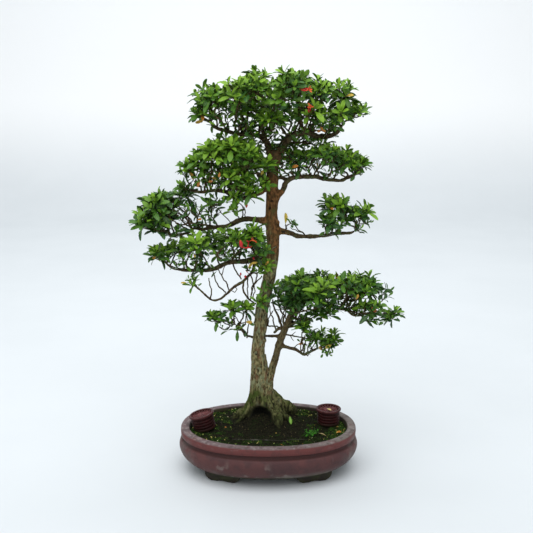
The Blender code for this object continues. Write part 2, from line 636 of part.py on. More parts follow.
# Each pad of leaves is one body: blades fused to small cores, with room cut for the twigs and blooms inside it.
for pad, (names, lobes) in PADS.items():
    parts = []
    for lobe in lobes:
        parts.append(ball(pad, lobe[:3], [r * c for r, c in zip(lobe[3:], CORE)]))
        parts += lobe_blades(pad, lobe, parts[-1])
    joined, waiting = [lobes[0]], list(lobes[1:])
    while waiting:
        near, far = min(((a, b) for a in joined for b in waiting), key=lambda pair: spread_of(*pair))
        if spread_of(near, far) > LINK_ABOVE:
            parts.append(tube("link", [(*near[:3], LINK_RADIUS), (*far[:3], LINK_RADIUS)], 4))
        joined.append(far)
        waiting.remove(far)
    leaves = combine(parts[0], parts[1:], "UNION")
    cuts = [copied(wood_room, "twig_room")]
    if pad in ("crown_leaves", "low_left_leaves"):
        cuts += [copied(room, "bloom_cut") for room in bloom_rooms]
    combine(leaves, cuts, "DIFFERENCE")
    painted(tidy(leaves), "leaves")

for spare in [wood_room] + bloom_rooms:
    bpy.data.objects.remove(spare, do_unlink=True)
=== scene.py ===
"""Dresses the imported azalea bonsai: barked wood, leaves in whorls, soil and moss, fired pot, slotted baskets."""

import json
import math
import random

import bmesh
import bpy
import numpy as np
from mathutils import Matrix, Vector, noise

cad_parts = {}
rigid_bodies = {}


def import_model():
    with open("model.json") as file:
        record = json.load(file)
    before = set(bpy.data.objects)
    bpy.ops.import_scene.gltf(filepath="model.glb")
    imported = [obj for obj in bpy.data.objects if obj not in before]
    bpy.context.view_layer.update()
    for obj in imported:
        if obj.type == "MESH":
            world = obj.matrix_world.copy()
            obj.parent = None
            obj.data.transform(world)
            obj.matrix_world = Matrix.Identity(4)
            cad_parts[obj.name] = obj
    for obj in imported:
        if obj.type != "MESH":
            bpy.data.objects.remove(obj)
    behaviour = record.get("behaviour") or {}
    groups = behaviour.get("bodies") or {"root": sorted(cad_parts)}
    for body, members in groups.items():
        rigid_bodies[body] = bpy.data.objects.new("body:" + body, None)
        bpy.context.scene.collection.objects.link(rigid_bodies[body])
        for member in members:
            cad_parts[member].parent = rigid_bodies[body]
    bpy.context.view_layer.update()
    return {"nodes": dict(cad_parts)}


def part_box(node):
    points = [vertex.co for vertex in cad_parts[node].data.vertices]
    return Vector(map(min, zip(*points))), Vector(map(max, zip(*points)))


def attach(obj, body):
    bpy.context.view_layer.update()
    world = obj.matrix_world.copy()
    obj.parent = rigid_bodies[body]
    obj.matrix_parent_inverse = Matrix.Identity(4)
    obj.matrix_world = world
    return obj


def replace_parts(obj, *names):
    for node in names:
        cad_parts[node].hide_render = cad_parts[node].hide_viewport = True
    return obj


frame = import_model()
MM = 0.001


# The camera stands where the photograph was taken, in front of the pot and level with the crown.
# A pale paper sweep runs under the pot and up behind it, under a wide soft light from above.
CAMERA_PLACE = (-0.003, -1.268, 0.591)
CAMERA_DOWN = 11.6
CAMERA_LENS, SENSOR_WIDTH = 56.06, 36
SWEEP_HALF_WIDTH, SWEEP_FRONT, SWEEP_BACK = 9000, -6000, 2600
SWEEP_BEND, SWEEP_TOP = 1400, 7000
DAYLIGHT, DAYLIGHT_STRENGTH = (0.96, 0.98, 1.0, 1), 0.66
# Each light has its place, what it points at, its size and its power.
LIGHTS = {"top_light": ((-0.25, -0.75, 2.1), (0, 0, 0.3), 2.3, 37),
          "wall_light": ((0, 1.2, 3.2), (0, 4.0, 0.9), 3.0, 56)}


def add(name, data):
    """A new object in the scene."""
    piece = bpy.data.objects.new(name, data)
    bpy.context.scene.collection.objects.link(piece)
    return piece


def solid(name, points, faces, smooth=True):
    """A mesh object at the origin from points in millimetres, its faces turned outwards."""
    mesh = bpy.data.meshes.new(name)
    mesh.from_pydata([tuple(c * MM for c in p) for p in points], [], faces)
    work = bmesh.new()
    work.from_mesh(mesh)
    bmesh.ops.recalc_face_normals(work, faces=work.faces)
    work.to_mesh(mesh)
    work.free()
    for face in mesh.polygons:
        face.use_smooth = smooth
    return add(name, mesh)


def join_up(tree, socket, value):
    """Links the socket to a node's first output or to another socket, or else sets it."""
    if isinstance(value, bpy.types.Node):
        value = next(s for s in value.outputs if s.enabled)
    if isinstance(value, bpy.types.NodeSocket):
        tree.links.new(value, socket)
    else:
        socket.default_value = (*value, 1) if socket.type == "RGBA" else value


def put(tree, kind, settings=None, **sockets):
    """Adds a node. Its inputs are filled by name, with _ for a space, or by number as n0, n1 and n2."""
    node = tree.nodes.new(kind)
    for name, value in (settings or {}).items():
        setattr(node, name, value)
    for name, value in sockets.items():
        if name[0] == "n" and name[1:].isdigit():
            socket = node.inputs[int(name[1:])]
        else:
            socket = next(s for s in node.inputs if s.enabled and s.name == name.replace("_", " "))
        join_up(tree, socket, value)
    return node


def reckon(tree, operation, *values, kind="ShaderNodeMath"):
    """One step of arithmetic on up to three values."""
    return put(tree, kind, {"operation": operation}, **{"n%d" % i: value for i, value in enumerate(values)})


class Finish:
    """A procedural finish: a base of two tones, the coats that lie over it, and a bump."""

    def __init__(self, name, roughness, specular=0.5):
        self.material = bpy.data.materials.new(name)
        self.material.use_nodes = True
        self.tree = self.material.node_tree
        self.shader = self.tree.nodes["Principled BSDF"]
        self.shader.inputs["Roughness"].default_value = roughness
        self.shader.inputs["Specular IOR Level"].default_value = specular
        self.where = put(self.tree, "ShaderNodeTexCoord").outputs["Object"]
        self.colour = None

    def reckon(self, operation, *values, kind="ShaderNodeMath"):
        """One step of arithmetic in this finish."""
        return reckon(self.tree, operation, *values, kind=kind)

    def carried(self, title):
        """A value that the mesh carries under this title."""
        return put(self.tree, "ShaderNodeAttribute", {"attribute_name": title}).outputs["Fac"]

    def axis(self, name):
        """The piece's own X, Y or Z, in metres."""
        return put(self.tree, "ShaderNodeSeparateXYZ", Vector=self.where).outputs[name]

    def between(self, value, low, high):
        """Where the value lies from low to high, as 0 to 1."""
        eased = {"interpolation_type": "SMOOTHSTEP"}
        return put(self.tree, "ShaderNodeMapRange", eased, Value=value, From_Min=low, From_Max=high).outputs[0]

    def up(self, low, high, axis="Z"):
        """How far a point lies from low to high, in millimetres up or along another axis, as 0 to 1."""
        return self.between(self.axis(axis), low * MM, high * MM)

    def speckle(self, scale, low, high, detail=4.0, stretch=(1, 1, 1)):
        """Noise over the piece, from 0 below low to 1 above high."""
        where = put(self.tree, "ShaderNodeMapping", Vector=self.where, Scale=stretch)
        cloud = put(self.tree, "ShaderNodeTexNoise", Vector=where, Scale=scale, Detail=detail)
        return self.between(cloud.outputs["Fac"], low, high)

    def mix(self, share, one, two):
        """Colour one, going over to colour two by share."""
        return put(self.tree, "ShaderNodeMix", {"data_type": "RGBA"}, Factor=share, A=one, B=two)

    def over(self, under, colour, *shares):
        """The colour laid over what is under it, as far as the product of the shares says."""
        product = shares[0]
        for share in shares[1:]:
            product = self.reckon("MULTIPLY", product, share)
        return self.mix(product, under, colour)

    def base(self, share, one, two):
        """The colour that the coats go over."""
        self.colour = self.mix(share, one, two)

    def coat(self, label, colour, *shares):
        """Lays one more colour over the rest; the label says what it is."""
        self.colour = self.over(self.colour, colour, *shares)
        self.colour.label = label

    def done(self, height=None, distance=0.0, strength=1.0):
        """The material, with its colour joined up and a bump by the height over a distance in millimetres."""
        join_up(self.tree, self.shader.inputs["Base Color"], self.colour)
        if height is not None:
            bump = put(self.tree, "ShaderNodeBump", Distance=distance * MM, Strength=strength, Height=height)
            join_up(self.tree, self.shader.inputs["Normal"], bump)
        return self.material


camera_data = bpy.data.cameras.new("camera")
camera_data.sensor_width = SENSOR_WIDTH
camera_data.lens = CAMERA_LENS
camera = add("camera", camera_data)
camera.location = CAMERA_PLACE
camera.rotation_euler = (math.radians(90 - CAMERA_DOWN), 0, 0)
bpy.context.scene.camera = camera

sweep = [(SWEEP_FRONT, 0)]
for t in np.linspace(0, math.pi / 2, 16):
    sweep.append((SWEEP_BACK + SWEEP_BEND * math.sin(t), SWEEP_BEND - SWEEP_BEND * math.cos(t)))
sweep.append((SWEEP_BACK + SWEEP_BEND, SWEEP_TOP))
paper = solid("paper_sweep", [(x, y, z) for y, z in sweep for x in (-SWEEP_HALF_WIDTH, SWEEP_HALF_WIDTH)],
              [(2 * i, 2 * i + 1, 2 * i + 3, 2 * i + 2) for i in range(len(sweep) - 1)])
white = Finish("paper_white", 0.9, 0.1)
# The paper is painted darker on the floor than up the wall. This painted shade evens out the top light, which
# falls more on the floor. The faint mottle on the floor is the paper's own.
floor_with_painted_shade = white.mix(white.speckle(3, 0.3, 0.7), (0.66, 0.7, 0.725), (0.68, 0.72, 0.745))
white.base(white.up(0, 600), floor_with_painted_shade, (0.9, 0.92, 0.93))
paper.data.materials.append(white.done())

world = bpy.data.worlds.new("studio")
world.use_nodes = True
world.node_tree.nodes["Background"].inputs["Color"].default_value = DAYLIGHT
world.node_tree.nodes["Background"].inputs["Strength"].default_value = DAYLIGHT_STRENGTH
bpy.context.scene.world = world
for name, (place, aim, size, power) in LIGHTS.items():
    lamp_data = bpy.data.lights.new(name, "AREA")
    lamp_data.size = size
    lamp_data.energy = power
    lamp = add(name, lamp_data)
    lamp.location = place
    lamp.rotation_euler = (Vector(aim) - Vector(place)).to_track_quat("-Z", "Y").to_euler()
bpy.context.scene.view_settings.view_transform = "Standard"


# The pot is one piece of unglazed red stoneware, thrown oval, with a groove under its rim band and four feet.
# Years of watering have left pale lime on the belly and rim, and dark moss on the feet.
OVAL_POWER = 2.2
OVAL_SIDES = 160
pot_low, pot_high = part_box("pot")
POT_HALF_LENGTH = (pot_high.x - pot_low.x) / 2 / MM
POT_HALF_DEPTH = (pot_high.y - pot_low.y) / 2 / MM
# The wall from its foot up the belly, over the band and down inside: rows of a height and an inset from the rim.
BELLY = [(9, 31), (9.4, 28.4), (10.4, 25), (12, 22), (13.9, 18.7), (16, 15.5), (18.9, 12.1), (22, 9),
         (25, 6.5), (28, 4.4), (31, 2.8), (34, 1.5), (36, 0.9), (38, 0.4), (40, 0.1), (42, 0), (44, 0.2),
         (46, 0.8), (48, 1.5), (49.4, 2.2), (50.4, 3.4)]
BAND = [(51, 6.2), (52, 7.1), (54.5, 7.3), (57, 6.6), (57.6, 4.2), (58.4, 3.1), (64, 2.7), (68, 2.9),
        (69.4, 3.7), (70, 5.4)]
INSIDE = [(70, 14.2), (69.4, 16), (67.6, 17), (56, 17), (45, 17), (30, 18.5), (20, 30), (16, 42)]
DRAIN_X, DRAIN_RADIUS, DRAIN_DEEP = 58, 9, 30
# One foot from the side, as x and height, and where the four of them stand.
FOOT_OUTLINE = [(-30, 14), (-29, 9), (-27.5, 5.5), (-24, 2.5), (-19, 0), (-9, 0), (-5, 1.3), (0, 1.7),
                (5, 1.3), (9, 0), (19, 0), (24, 2.5), (27.5, 5.5), (29, 9), (30, 14)]
FOOT_HALF_DEPTH, FOOT_TAPER, FOOT_WEAR = 8.5, 0.97, 1.2
FOOT_X, FOOT_Y, FOOT_TURN = 70, 56, 16


def oval(inset, z, share=1.0):
    """One ring of the pot's plan, drawn in by inset and then scaled by share."""
    ring = []
    for j in range(OVAL_SIDES):
        turn = 2 * math.pi * j / OVAL_SIDES
        c, s = math.cos(turn), math.sin(turn)
        x = math.copysign(abs(c) ** (2 / OVAL_POWER), c) * (POT_HALF_LENGTH - inset) * share
        y = math.copysign(abs(s) ** (2 / OVAL_POWER), s) * (POT_HALF_DEPTH - inset) * share
        ring.append((x, y, z(x, y) if callable(z) else z))
    return ring


def skin(rings):
    """Points and faces of a closed skin over rings of equal length, capped at both ends."""
    count = len(rings[0])
    faces = []
    for i in range(len(rings) - 1):
        for j in range(count):
            k = (j + 1) % count
            faces.append((i * count + j, i * count + k, (i + 1) * count + k, (i + 1) * count + j))
    faces.append(tuple(reversed(range(count))))
    faces.append(tuple((len(rings) - 1) * count + j for j in range(count)))
    return [p for ring in rings for p in ring], faces


def settled(piece):
    """Applies the piece's modifiers to its mesh."""
    mesh = bpy.data.meshes.new_from_object(piece.evaluated_get(bpy.context.evaluated_depsgraph_get()))
    piece.modifiers.clear()
    piece.data = mesh
    return piece


def joined(pieces, name, material):
    """One object from several, in one material; the others are removed."""
    work = bmesh.new()
    for piece in pieces:
        work.from_mesh(piece.data)
    mesh = bpy.data.meshes.new(name)
    work.to_mesh(mesh)
    work.free()
    mesh.materials.append(material)
    for face in mesh.polygons:
        face.material_index = 0
    for piece in pieces:
        bpy.data.objects.remove(piece)
    return add(name, mesh)


def stands_for(piece, slot, *nodes):
    """The piece belongs to the tree in its pot and is shown in place of the nodes."""
    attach(piece, "root")
    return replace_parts(piece, *nodes)


pot = solid("pot_wall", *skin([oval(inset, z) for z, inset in BELLY + BAND + INSIDE]))
for side_x in (-1, 1):
    ring = [(DRAIN_X * side_x + DRAIN_RADIUS * math.cos(t), DRAIN_RADIUS * math.sin(t), 0)
            for t in np.linspace(0, 2 * math.pi, 40, endpoint=False)]
    hole = solid("drain_hole", *skin([ring, [(x, y, DRAIN_DEEP) for x, y, _ in ring]]))
    cut = pot.modifiers.new("drain_hole", "BOOLEAN")
    cut.operation = "DIFFERENCE"
    cut.object = hole
    settled(pot)
    bpy.data.objects.remove(hole)
feet = []
for side_x in (-1, 1):
    for side_y in (-1, 1):
        sections = ((-FOOT_HALF_DEPTH, FOOT_TAPER), (0, 1.0), (FOOT_HALF_DEPTH, FOOT_TAPER))
        foot = solid("foot", *skin([[(x * grow, y, z) for x, z in FOOT_OUTLINE] for y, grow in sections]))
        turned = Matrix.Rotation(math.radians(-FOOT_TURN * side_x * side_y), 4, "Z")
        foot.data.transform(Matrix.Translation(Vector((FOOT_X * side_x, FOOT_Y * side_y, 0)) * MM) @ turned)
        worn = foot.modifiers.new("worn", "BEVEL")
        worn.width = FOOT_WEAR * MM
        worn.segments = 2
        worn.angle_limit = math.radians(50)
        feet.append(settled(foot))

clay = Finish("red_stoneware", 0.66, 0.3)
clay.base(clay.speckle(24, 0.35, 0.7), (0.1, 0.036, 0.034), (0.062, 0.027, 0.028))
clay.coat("rim band", (0.13, 0.036, 0.033), clay.up(57, 58.5))
# Painted shade: the groove under the rim band is painted a darker red, for the shade under the band's overhang.
clay.coat("groove", (0.06, 0.022, 0.02), clay.up(49.5, 51.5), clay.up(58.6, 57.2))
chalky = clay.speckle(62, 0.55, 0.68, 8, (1, 1, 0.6))
clay.coat("lime on the belly", (0.25, 0.21, 0.19), chalky, clay.up(54, 20), 0.75)
clay.coat("dark flecks", (0.052, 0.026, 0.026), clay.speckle(95, 0.5, 0.66, 6), 0.35)
tide = clay.speckle(30, 0.4, 0.7, 6, (1, 1, 0.3))
clay.coat("tide line", (0.2, 0.18, 0.17), clay.up(30, 18), tide, 0.5)
rim_top = clay.up(67.5, 69.8)
scum = clay.mix(clay.up(30, 120, "X"), (0.15, 0.112, 0.115), (0.16, 0.145, 0.13))
clay.coat("scum on the rim", scum, rim_top, clay.speckle(90, 0.2, 0.5, 8), 0.9)
clay.coat("lime on the rim", (0.29, 0.245, 0.24), rim_top, clay.speckle(150, 0.5, 0.62, 8), 0.5)
clay.coat("dirt on the rim", (0.07, 0.045, 0.044), rim_top, clay.speckle(120, 0.52, 0.62, 8), 0.65)
ends = clay.between(clay.reckon("ABSOLUTE", clay.axis("X")), 108 * MM, 142 * MM)
clay.coat("lime at the ends", (0.16, 0.15, 0.135), ends, clay.up(69.5, 60), clay.speckle(50, 0.3, 0.65, 8), 0.55)
clay.coat("wiped band", (0.28, 0.21, 0.2), clay.up(59, 70), clay.speckle(45, 0.56, 0.72, 8, (1, 1, 2.5)), 0.5)
clay.coat("moss low down", (0.05, 0.05, 0.022), clay.up(30, 12), clay.speckle(20, 0.45, 0.65, 3), 0.7)
foot_green = clay.mix(clay.speckle(240, 0.36, 0.64, 6), (0.014, 0.016, 0.007), (0.075, 0.075, 0.028))
clay.coat("moss on the feet", foot_green, clay.up(16.5, 9.5), clay.speckle(150, 0.2, 0.5))
flat = clay.reckon("MULTIPLY", clay.where, (1 / 0.1285, 1 / 0.087, 0), kind="ShaderNodeVectorMath")
far_out = clay.reckon("LENGTH", flat, kind="ShaderNodeVectorMath")
stain = clay.mix(clay.speckle(80, 0.35, 0.65), (0.022, 0.016, 0.013), (0.035, 0.038, 0.014))
clay.coat("soil stain inside", stain, clay.between(far_out, 1.055, 1.03), clay.up(69.8, 68.8), 0.9)
fired = clay.done(clay.speckle(420, 0.2, 0.8, 6), 0.5, 0.6)
stands_for(joined([pot] + feet, "fired_pot", fired), "pot", "pot")


# Slotted plastic discs keep the soil off the two drain holes; they lie on the pot's floor under the soil.
# Only their undersides show, through the holes.
drain = Finish("drain_plastic", 0.55)
drain.base(drain.speckle(300, 0.3, 0.7), (0.02, 0.02, 0.02), (0.06, 0.05, 0.04))
mesh_plastic = drain.done(drain.speckle(900, 0.3, 0.7), 0.2)
for name in ("drain_mesh_left", "drain_mesh_right"):
    frame["nodes"][name].data.materials.clear()
    frame["nodes"][name].data.materials.append(mesh_plastic)


# Both trunks and the surface roots are one old living body: they melt into each other at the flare.
# The bark is thin and flaky, rusty brown above, grey-green lower down and mossy where the roots enter the soil.
CELL, OUTSIDE = 1.1, 30.0
FIELD_LOW = np.array((-84.0, -20.0, 50.0))
FIELD_HIGH = np.array((66.0, 92.0, 520.0))
SOIL_EDGE, SOIL_MOUND = 62.5, 22
MOUND_X, MOUND_Y, MOUND_WIDE, MOUND_DEEP = -6, 28, 55, 42
# Rows of a point and a thickness up each trunk.
TRUNK = [(-6, 28, 58, 16), (-6, 28, 84, 26), (-10, 26, 104, 20.5), (-13, 23, 124, 15.6),
         (-14, 21, 146, 12.6), (-16, 20, 170, 11.3), (-16.5, 19, 191, 10.6), (-13, 18, 225, 10.5),
         (-10, 17.5, 257, 10.5), (-4, 16, 285, 10.2), (0, 14, 305, 9.9), (4, 13, 330, 10.1),
         (7, 12, 365, 10.4), (6, 12.5, 394, 9.8), (4.6, 12.5, 413, 9.0), (6.2, 13, 432, 9.6),
         (6, 14, 456, 9.2), (7, 14, 486, 8.5), (11, 14, 508, 6.5)]
SECOND_TRUNK = [(-2, 22, 92, 9), (0, 20, 120, 7.4), (4.5, 16, 152, 6.2), (12, 9, 181, 5.5),
                (17, 5, 202, 5.6), (23, 3, 220, 5.5), (31, 2, 240, 5.2), (39, 3, 259, 4.8),
                (46, 4, 271, 4.4)]
# Each surface root has the x and y of its knee and of its tip below the soil, and its thickness.
ROOTS = [(-34, 22, -62, 28, 8), (-24, 12, -43, 12, 4.5), (8, 10, 17, -3, 9), (24, 22, 50, 16, 5.5),
         (24, 40, 50, 46, 11), (-28, 46, -46, 62, 7), (-4, 54, -2, 72, 7)]
# Fine buttress roots stand round the flare, but not in front, where the arch is.
BUTTRESSES = 15
# Knobs and holes are a place and a radius. The arch is a hollow under the front roots, with a reach on each axis.
ROOT_KNOBS = [(27, 30, 92, 7), (34, 34, 84, 8), (17, 24, 100, 6), (40, 40, 78, 7), (-27, 26, 92, 6),
              (-38, 30, 80, 6), (11, 5, 82, 9), (13, 2, 77, 8.5), (16, -3, 73, 7), (-30, 50, 84, 6),
              (-45, 24, 77, 8), (-55, 24, 71, 6)]
TRUNK_KNOBS = [(-4.5, 9, 452, 3.4), (-20, 11, 236, 3.6), (2, 5, 352, 3.2), (-6, 13, 206, 3.0),
               (14, 8, 398, 3.6)]
TRUNK_HOLES = [(1.2, 3.6, 422, 1.8), (4.8, 3.4, 433, 1.3)]
ARCH, ARCH_REACH = (-14, -4, 82), (20, 19, 17)
# Each limb has its thickness at the trunk and at its tip, and the points that it runs through.
LIMBS = {
    "crown_left": (5.2, 2.2, [
        (7, 14, 495), (1, 12, 511), (-5, 8, 525), (-13, 5, 531), (-24, 2, 534), (-40, 0, 534),
        (-61, -2, 539), (-77, -3, 544), (-89, -4, 556)]),
    "crown_right": (6.6, 2.3, [
        (11, 14, 497), (21, 11, 515), (32, 6, 529), (45, 0, 536), (59, -2, 537), (75, -1, 532), (92, 3, 531),
        (105, 6, 538), (112, 8, 549)]),
    "upper_right": (4.4, 2.0, [
        (7, 12, 434), (21, 10, 447), (27, 6, 461), (38, 2, 469), (69, 0, 470), (93, 2, 465), (111, 2, 465),
        (122, 2, 470), (141, 2, 477)]),
    "upper_left": (4.4, 2.0, [
        (4, 11, 462), (-11, 4, 447), (-26, 0, 441), (-43, -4, 439), (-56, -6, 442), (-66, -7, 448),
        (-80, -8, 450), (-102, -8, 448), (-121, -6, 451)]),
    "middle_left": (4.6, 1.8, [
        (3, 12, 399), (-16, 8, 403), (-30, 4, 405), (-47, 0, 402), (-62, -2, 396), (-78, -4, 394),
        (-98, -4, 391), (-116, -4, 391), (-124, -4, 385), (-153, -6, 380)]),
    "middle_right": (4.2, 2.0, [
        (9, 12, 387), (30, 8, 383), (43, 5, 379), (60, 3, 378), (77, 2, 379), (108, 2, 383), (125, 2, 383),
        (133, 3, 386)]),
    "low_left": (4.9, 1.8, [
        (5, 13, 340), (-8, 8, 343), (-21, 2, 343), (-35, -2, 340), (-50, -4, 339), (-66, -4, 337),
        (-82, -4, 329), (-97, -4, 326), (-112, -3, 325), (-128, -2, 325), (-146, 0, 327), (-160, 0, 336)]),
    "hanging": (2.6, 1.3, [
        (0, 12, 338), (-20, 4, 338), (-23, -2, 331), (-25, -6, 324), (-31, -9, 318), (-38, -12, 312),
        (-50, -15, 304), (-60, -17, 295), (-69, -19, 288), (-75, -20, 283), (-84, -21, 281), (-93, -22, 286),
        (-105, -24, 298), (-116, -25, 308)]),
    "lowest_left": (2.2, 1.5, [
        (19, 5, 216), (3, 30, 210), (-14, 35, 207), (-26, 20, 211), (-36, 4, 219), (-42, -2, 228),
        (-51, -6, 238)]),
    "lowest_right": (2.8, 1.8, [
        (17, 6, 201), (30, 2, 199), (41, 0, 196), (50, -2, 192), (58, -3, 189), (69, -3, 194), (79, -3, 199)]),
    "big_right": (5.0, 2.0, [
        (42, 3, 262), (50, 4, 273), (61, 2, 280), (78, 0, 275), (97, 0, 269), (113, 0, 264), (124, 0, 261),
        (135, 0, 253), (148, 0, 254), (166, 2, 257)]),
    "back_upper": (3.6, 2.0, [
        (6, 14, 452), (-2, 34, 458), (-12, 50, 466), (-20, 62, 474)]),
    "back_low": (3.6, 2.0, [
        (5, 13, 338), (-6, 32, 340), (-18, 48, 342), (-26, 58, 346)]),
}
# How deep the fissures and the lumps of the bark are in the upper trunk, and how much deeper at the foot.
FISSURE, FISSURE_AT_FOOT = 0.42, 0.98
LUMP, LUMP_AT_FOOT = 0.75, 0.65


def smooth_rows(rows, step):
    """Rows along a smooth curve through the given rows, about a step apart."""
    rows = np.array(rows, float)
    padded = np.vstack([2 * rows[:1] - rows[1:2], rows, 2 * rows[-1:] - rows[-2:-1]])
    out = []
    for before, a, b, after in zip(padded, padded[1:], padded[2:], padded[3:]):
        count = max(1, round(np.linalg.norm((b - a)[:3]) / step))
        for t in np.arange(count) / count:
            out.append(0.5 * (2 * a + (b - before) * t + (2 * before - 5 * a + 4 * b - after) * t * t
                              + (3 * a - before - 3 * b + after) * t ** 3))
    return np.array(out + [rows[-1]])


def limb_rows(name):
    """A limb's points with the radius falling from its base to its tip."""
    start, end, points = LIMBS[name]
    last = len(points) - 1
    return [(*p, start + (end - start) * i / last) for i, p in enumerate(points)]


def mound(x, y):
    """The height of the soil that the trunk stands on, before its crumbs and moss."""
    away = ((x - MOUND_X) / MOUND_WIDE) ** 2 + ((y - MOUND_Y) / MOUND_DEEP) ** 2
    return SOIL_EDGE + SOIL_MOUND * math.exp(-away)


field_shape = np.ceil((FIELD_HIGH - FIELD_LOW) / CELL).astype(int) + 1
wood_field = np.full(field_shape, OUTSIDE, np.float32)


def block(low, high):
    """The part of the field between two corners, and the coordinates of its points."""
    first = np.clip(np.floor((low - FIELD_LOW) / CELL).astype(int), 0, field_shape - 1)
    last = np.clip(np.ceil((high - FIELD_LOW) / CELL).astype(int) + 1, 1, field_shape)
    x, y, z = (FIELD_LOW[i] + CELL * np.arange(first[i], last[i]) for i in range(3))
    return tuple(slice(a, b) for a, b in zip(first, last)), x[:, None, None], y[None, :, None], z[None, None, :]


def melted(one, two, width):
    """The union of two fields with a fillet about as wide as width."""
    share = np.clip(0.5 + 0.5 * (two - one) / width, 0, 1)
    return two + (one - two) * share - width * share * (1 - share)


def grow(rows, width):
    """Melts a tapered stem through the rows into the field."""
    global wood_field
    stem = np.full(field_shape, OUTSIDE, np.float32)
    for a, b in zip(rows[:-1], rows[1:]):
        reach = max(a[3], b[3]) + width + 3 * CELL
        cut, x, y, z = block(np.minimum(a, b)[:3] - reach, np.maximum(a, b)[:3] + reach)
        way = (b - a)[:3]
        t = ((x - a[0]) * way[0] + (y - a[1]) * way[1] + (z - a[2]) * way[2]) / (way @ way)
        t = np.clip(t, 0, 1)
        gap = np.sqrt((x - a[0] - t * way[0]) ** 2 + (y - a[1] - t * way[1]) ** 2 + (z - a[2] - t * way[2]) ** 2)
        stem[cut] = np.minimum(stem[cut], gap - a[3] - t * (b[3] - a[3]))
    wood_field = melted(wood_field, stem, width)


def surface_of(field):
    """Points and faces of the closed surface where the field changes sign, one point in each cell it crosses."""
    inside = field < 0
    size = np.array(field.shape)
    corners = [(i, j, k) for i in (0, 1) for j in (0, 1) for k in (0, 1)]
    full = inside.astype(np.int8)
    held = sum(full[i:size[0] - 1 + i, j:size[1] - 1 + j, k:size[2] - 1 + k] for i, j, k in corners)
    cells = np.argwhere((held > 0) & (held < 8))
    values = np.stack([field[tuple((cells + corner).T)] for corner in corners], 1)
    total, count = np.zeros((len(cells), 3)), np.zeros(len(cells))
    for a, one in enumerate(corners):
        for b, two in enumerate(corners):
            if a < b and sum(p != q for p, q in zip(one, two)) == 1:
                crossed = (values[:, a] < 0) != (values[:, b] < 0)
                t = np.where(crossed, values[:, a] / np.where(crossed, values[:, a] - values[:, b], 1), 0)
                total += (np.array(one) + t[:, None] * (np.array(two) - one)) * crossed[:, None]
                count += crossed
    number = np.full(held.shape, -1)
    number[tuple(cells.T)] = np.arange(len(cells))
    quads = []
    for axis in range(3):
        b, c = (axis + 1) % 3, (axis + 2) % 3
        near, far = [slice(None)] * 3, [slice(None)] * 3
        near[axis], far[axis] = slice(0, -1), slice(1, None)
        edges = np.argwhere(inside[tuple(near)] != inside[tuple(far)])
        kept = (edges[:, b] > 0) & (edges[:, c] > 0) & (edges[:, b] < size[b] - 1) & (edges[:, c] < size[c] - 1)
        edges = edges[kept]
        around = []
        for shift_b, shift_c in ((-1, -1), (0, -1), (0, 0), (-1, 0)):
            cell = edges.copy()
            cell[:, b] += shift_b
            cell[:, c] += shift_c
            around.append(number[tuple(cell.T)])
        quad = np.stack(around, 1)
        hollow_side = ~inside[tuple(edges.T)]
        quad[hollow_side] = quad[hollow_side][:, ::-1]
        quads.append(quad)
    return (FIELD_LOW + (cells + total / count[:, None]) * CELL).tolist(), np.vstack(quads).tolist()


grow(smooth_rows(TRUNK, 4), 3)
grow(smooth_rows(SECOND_TRUNK, 4), 2.5)
for knee_x, knee_y, tip_x, tip_y, radius in ROOTS:
    knee_z, tip_z = mound(knee_x, knee_y) + 1, mound(tip_x, tip_y) - 8
    rows = [(-9, 26, 122, radius * 0.9), (knee_x * 0.6 - 3, knee_y * 0.6 + 10, 99, radius),
            (knee_x, knee_y, knee_z, radius * 0.95), (tip_x, tip_y, tip_z, radius * 0.4)]
    grow(smooth_rows(rows, 4), 4)
random.seed(11)
for k in range(BUTTRESSES):
    turn = 2 * math.pi * (k + random.uniform(-0.25, 0.25)) / BUTTRESSES
    c, s = math.cos(turn), math.sin(turn)
    thick = random.uniform(2.2, 4.2)
    lean = random.uniform(-0.25, 0.25)
    c2, s2 = math.cos(turn + lean), math.sin(turn + lean)
    far = random.uniform(34, 46)
    rows = [(-14 + 10 * c, 21 + 9 * s, random.uniform(135, 190), thick * 0.7),
            (-11 + 16 * c, 24 + 14 * s, 112, thick),
            (-8 + 25 * c2, 27 + 22 * s2, 93, thick),
            (-6 + far * c2, 28 + far * 0.8 * s2, 76, thick * 0.8),
            (-6 + far * 1.5 * c2, 28 + far * 1.25 * s2, 58, thick * 0.5)]
    if not (s2 < -0.2 and -0.85 < c2 < 0.3):
        grow(smooth_rows(rows, 4), 4)
for x, y, z, radius in ROOT_KNOBS:
    grow(np.array([(x, y, z - 1, radius), (x + 1, y, z + 1, radius)], float), 4)
for x, y, z, radius in TRUNK_KNOBS:
    grow(np.array([(x, y + 2, z, radius), (x, y + 1, z + 1, radius)], float), 3)
for name in LIMBS:
    rows = smooth_rows(limb_rows(name), 3)[:9]
    rows[:, 3] *= np.linspace(1.5, 0.9, len(rows))
    grow(rows, 5)
hollows = [(ARCH, ARCH_REACH)] + [((x, y - 1, z), (r, 4, 1.3 * r)) for x, y, z, r in TRUNK_HOLES]
for place, reach in hollows:
    cut, x, y, z = block(np.array(place) - 2 * max(reach), np.array(place) + 2 * max(reach))
    hollow = sum(((v - c) / r) ** 2 for v, c, r in zip((x, y, z), place, reach))
    hollow = (np.sqrt(hollow) - 1) * min(reach)
    wood_field[cut] = -melted(-wood_field[cut], hollow, min(2.5, min(reach)))

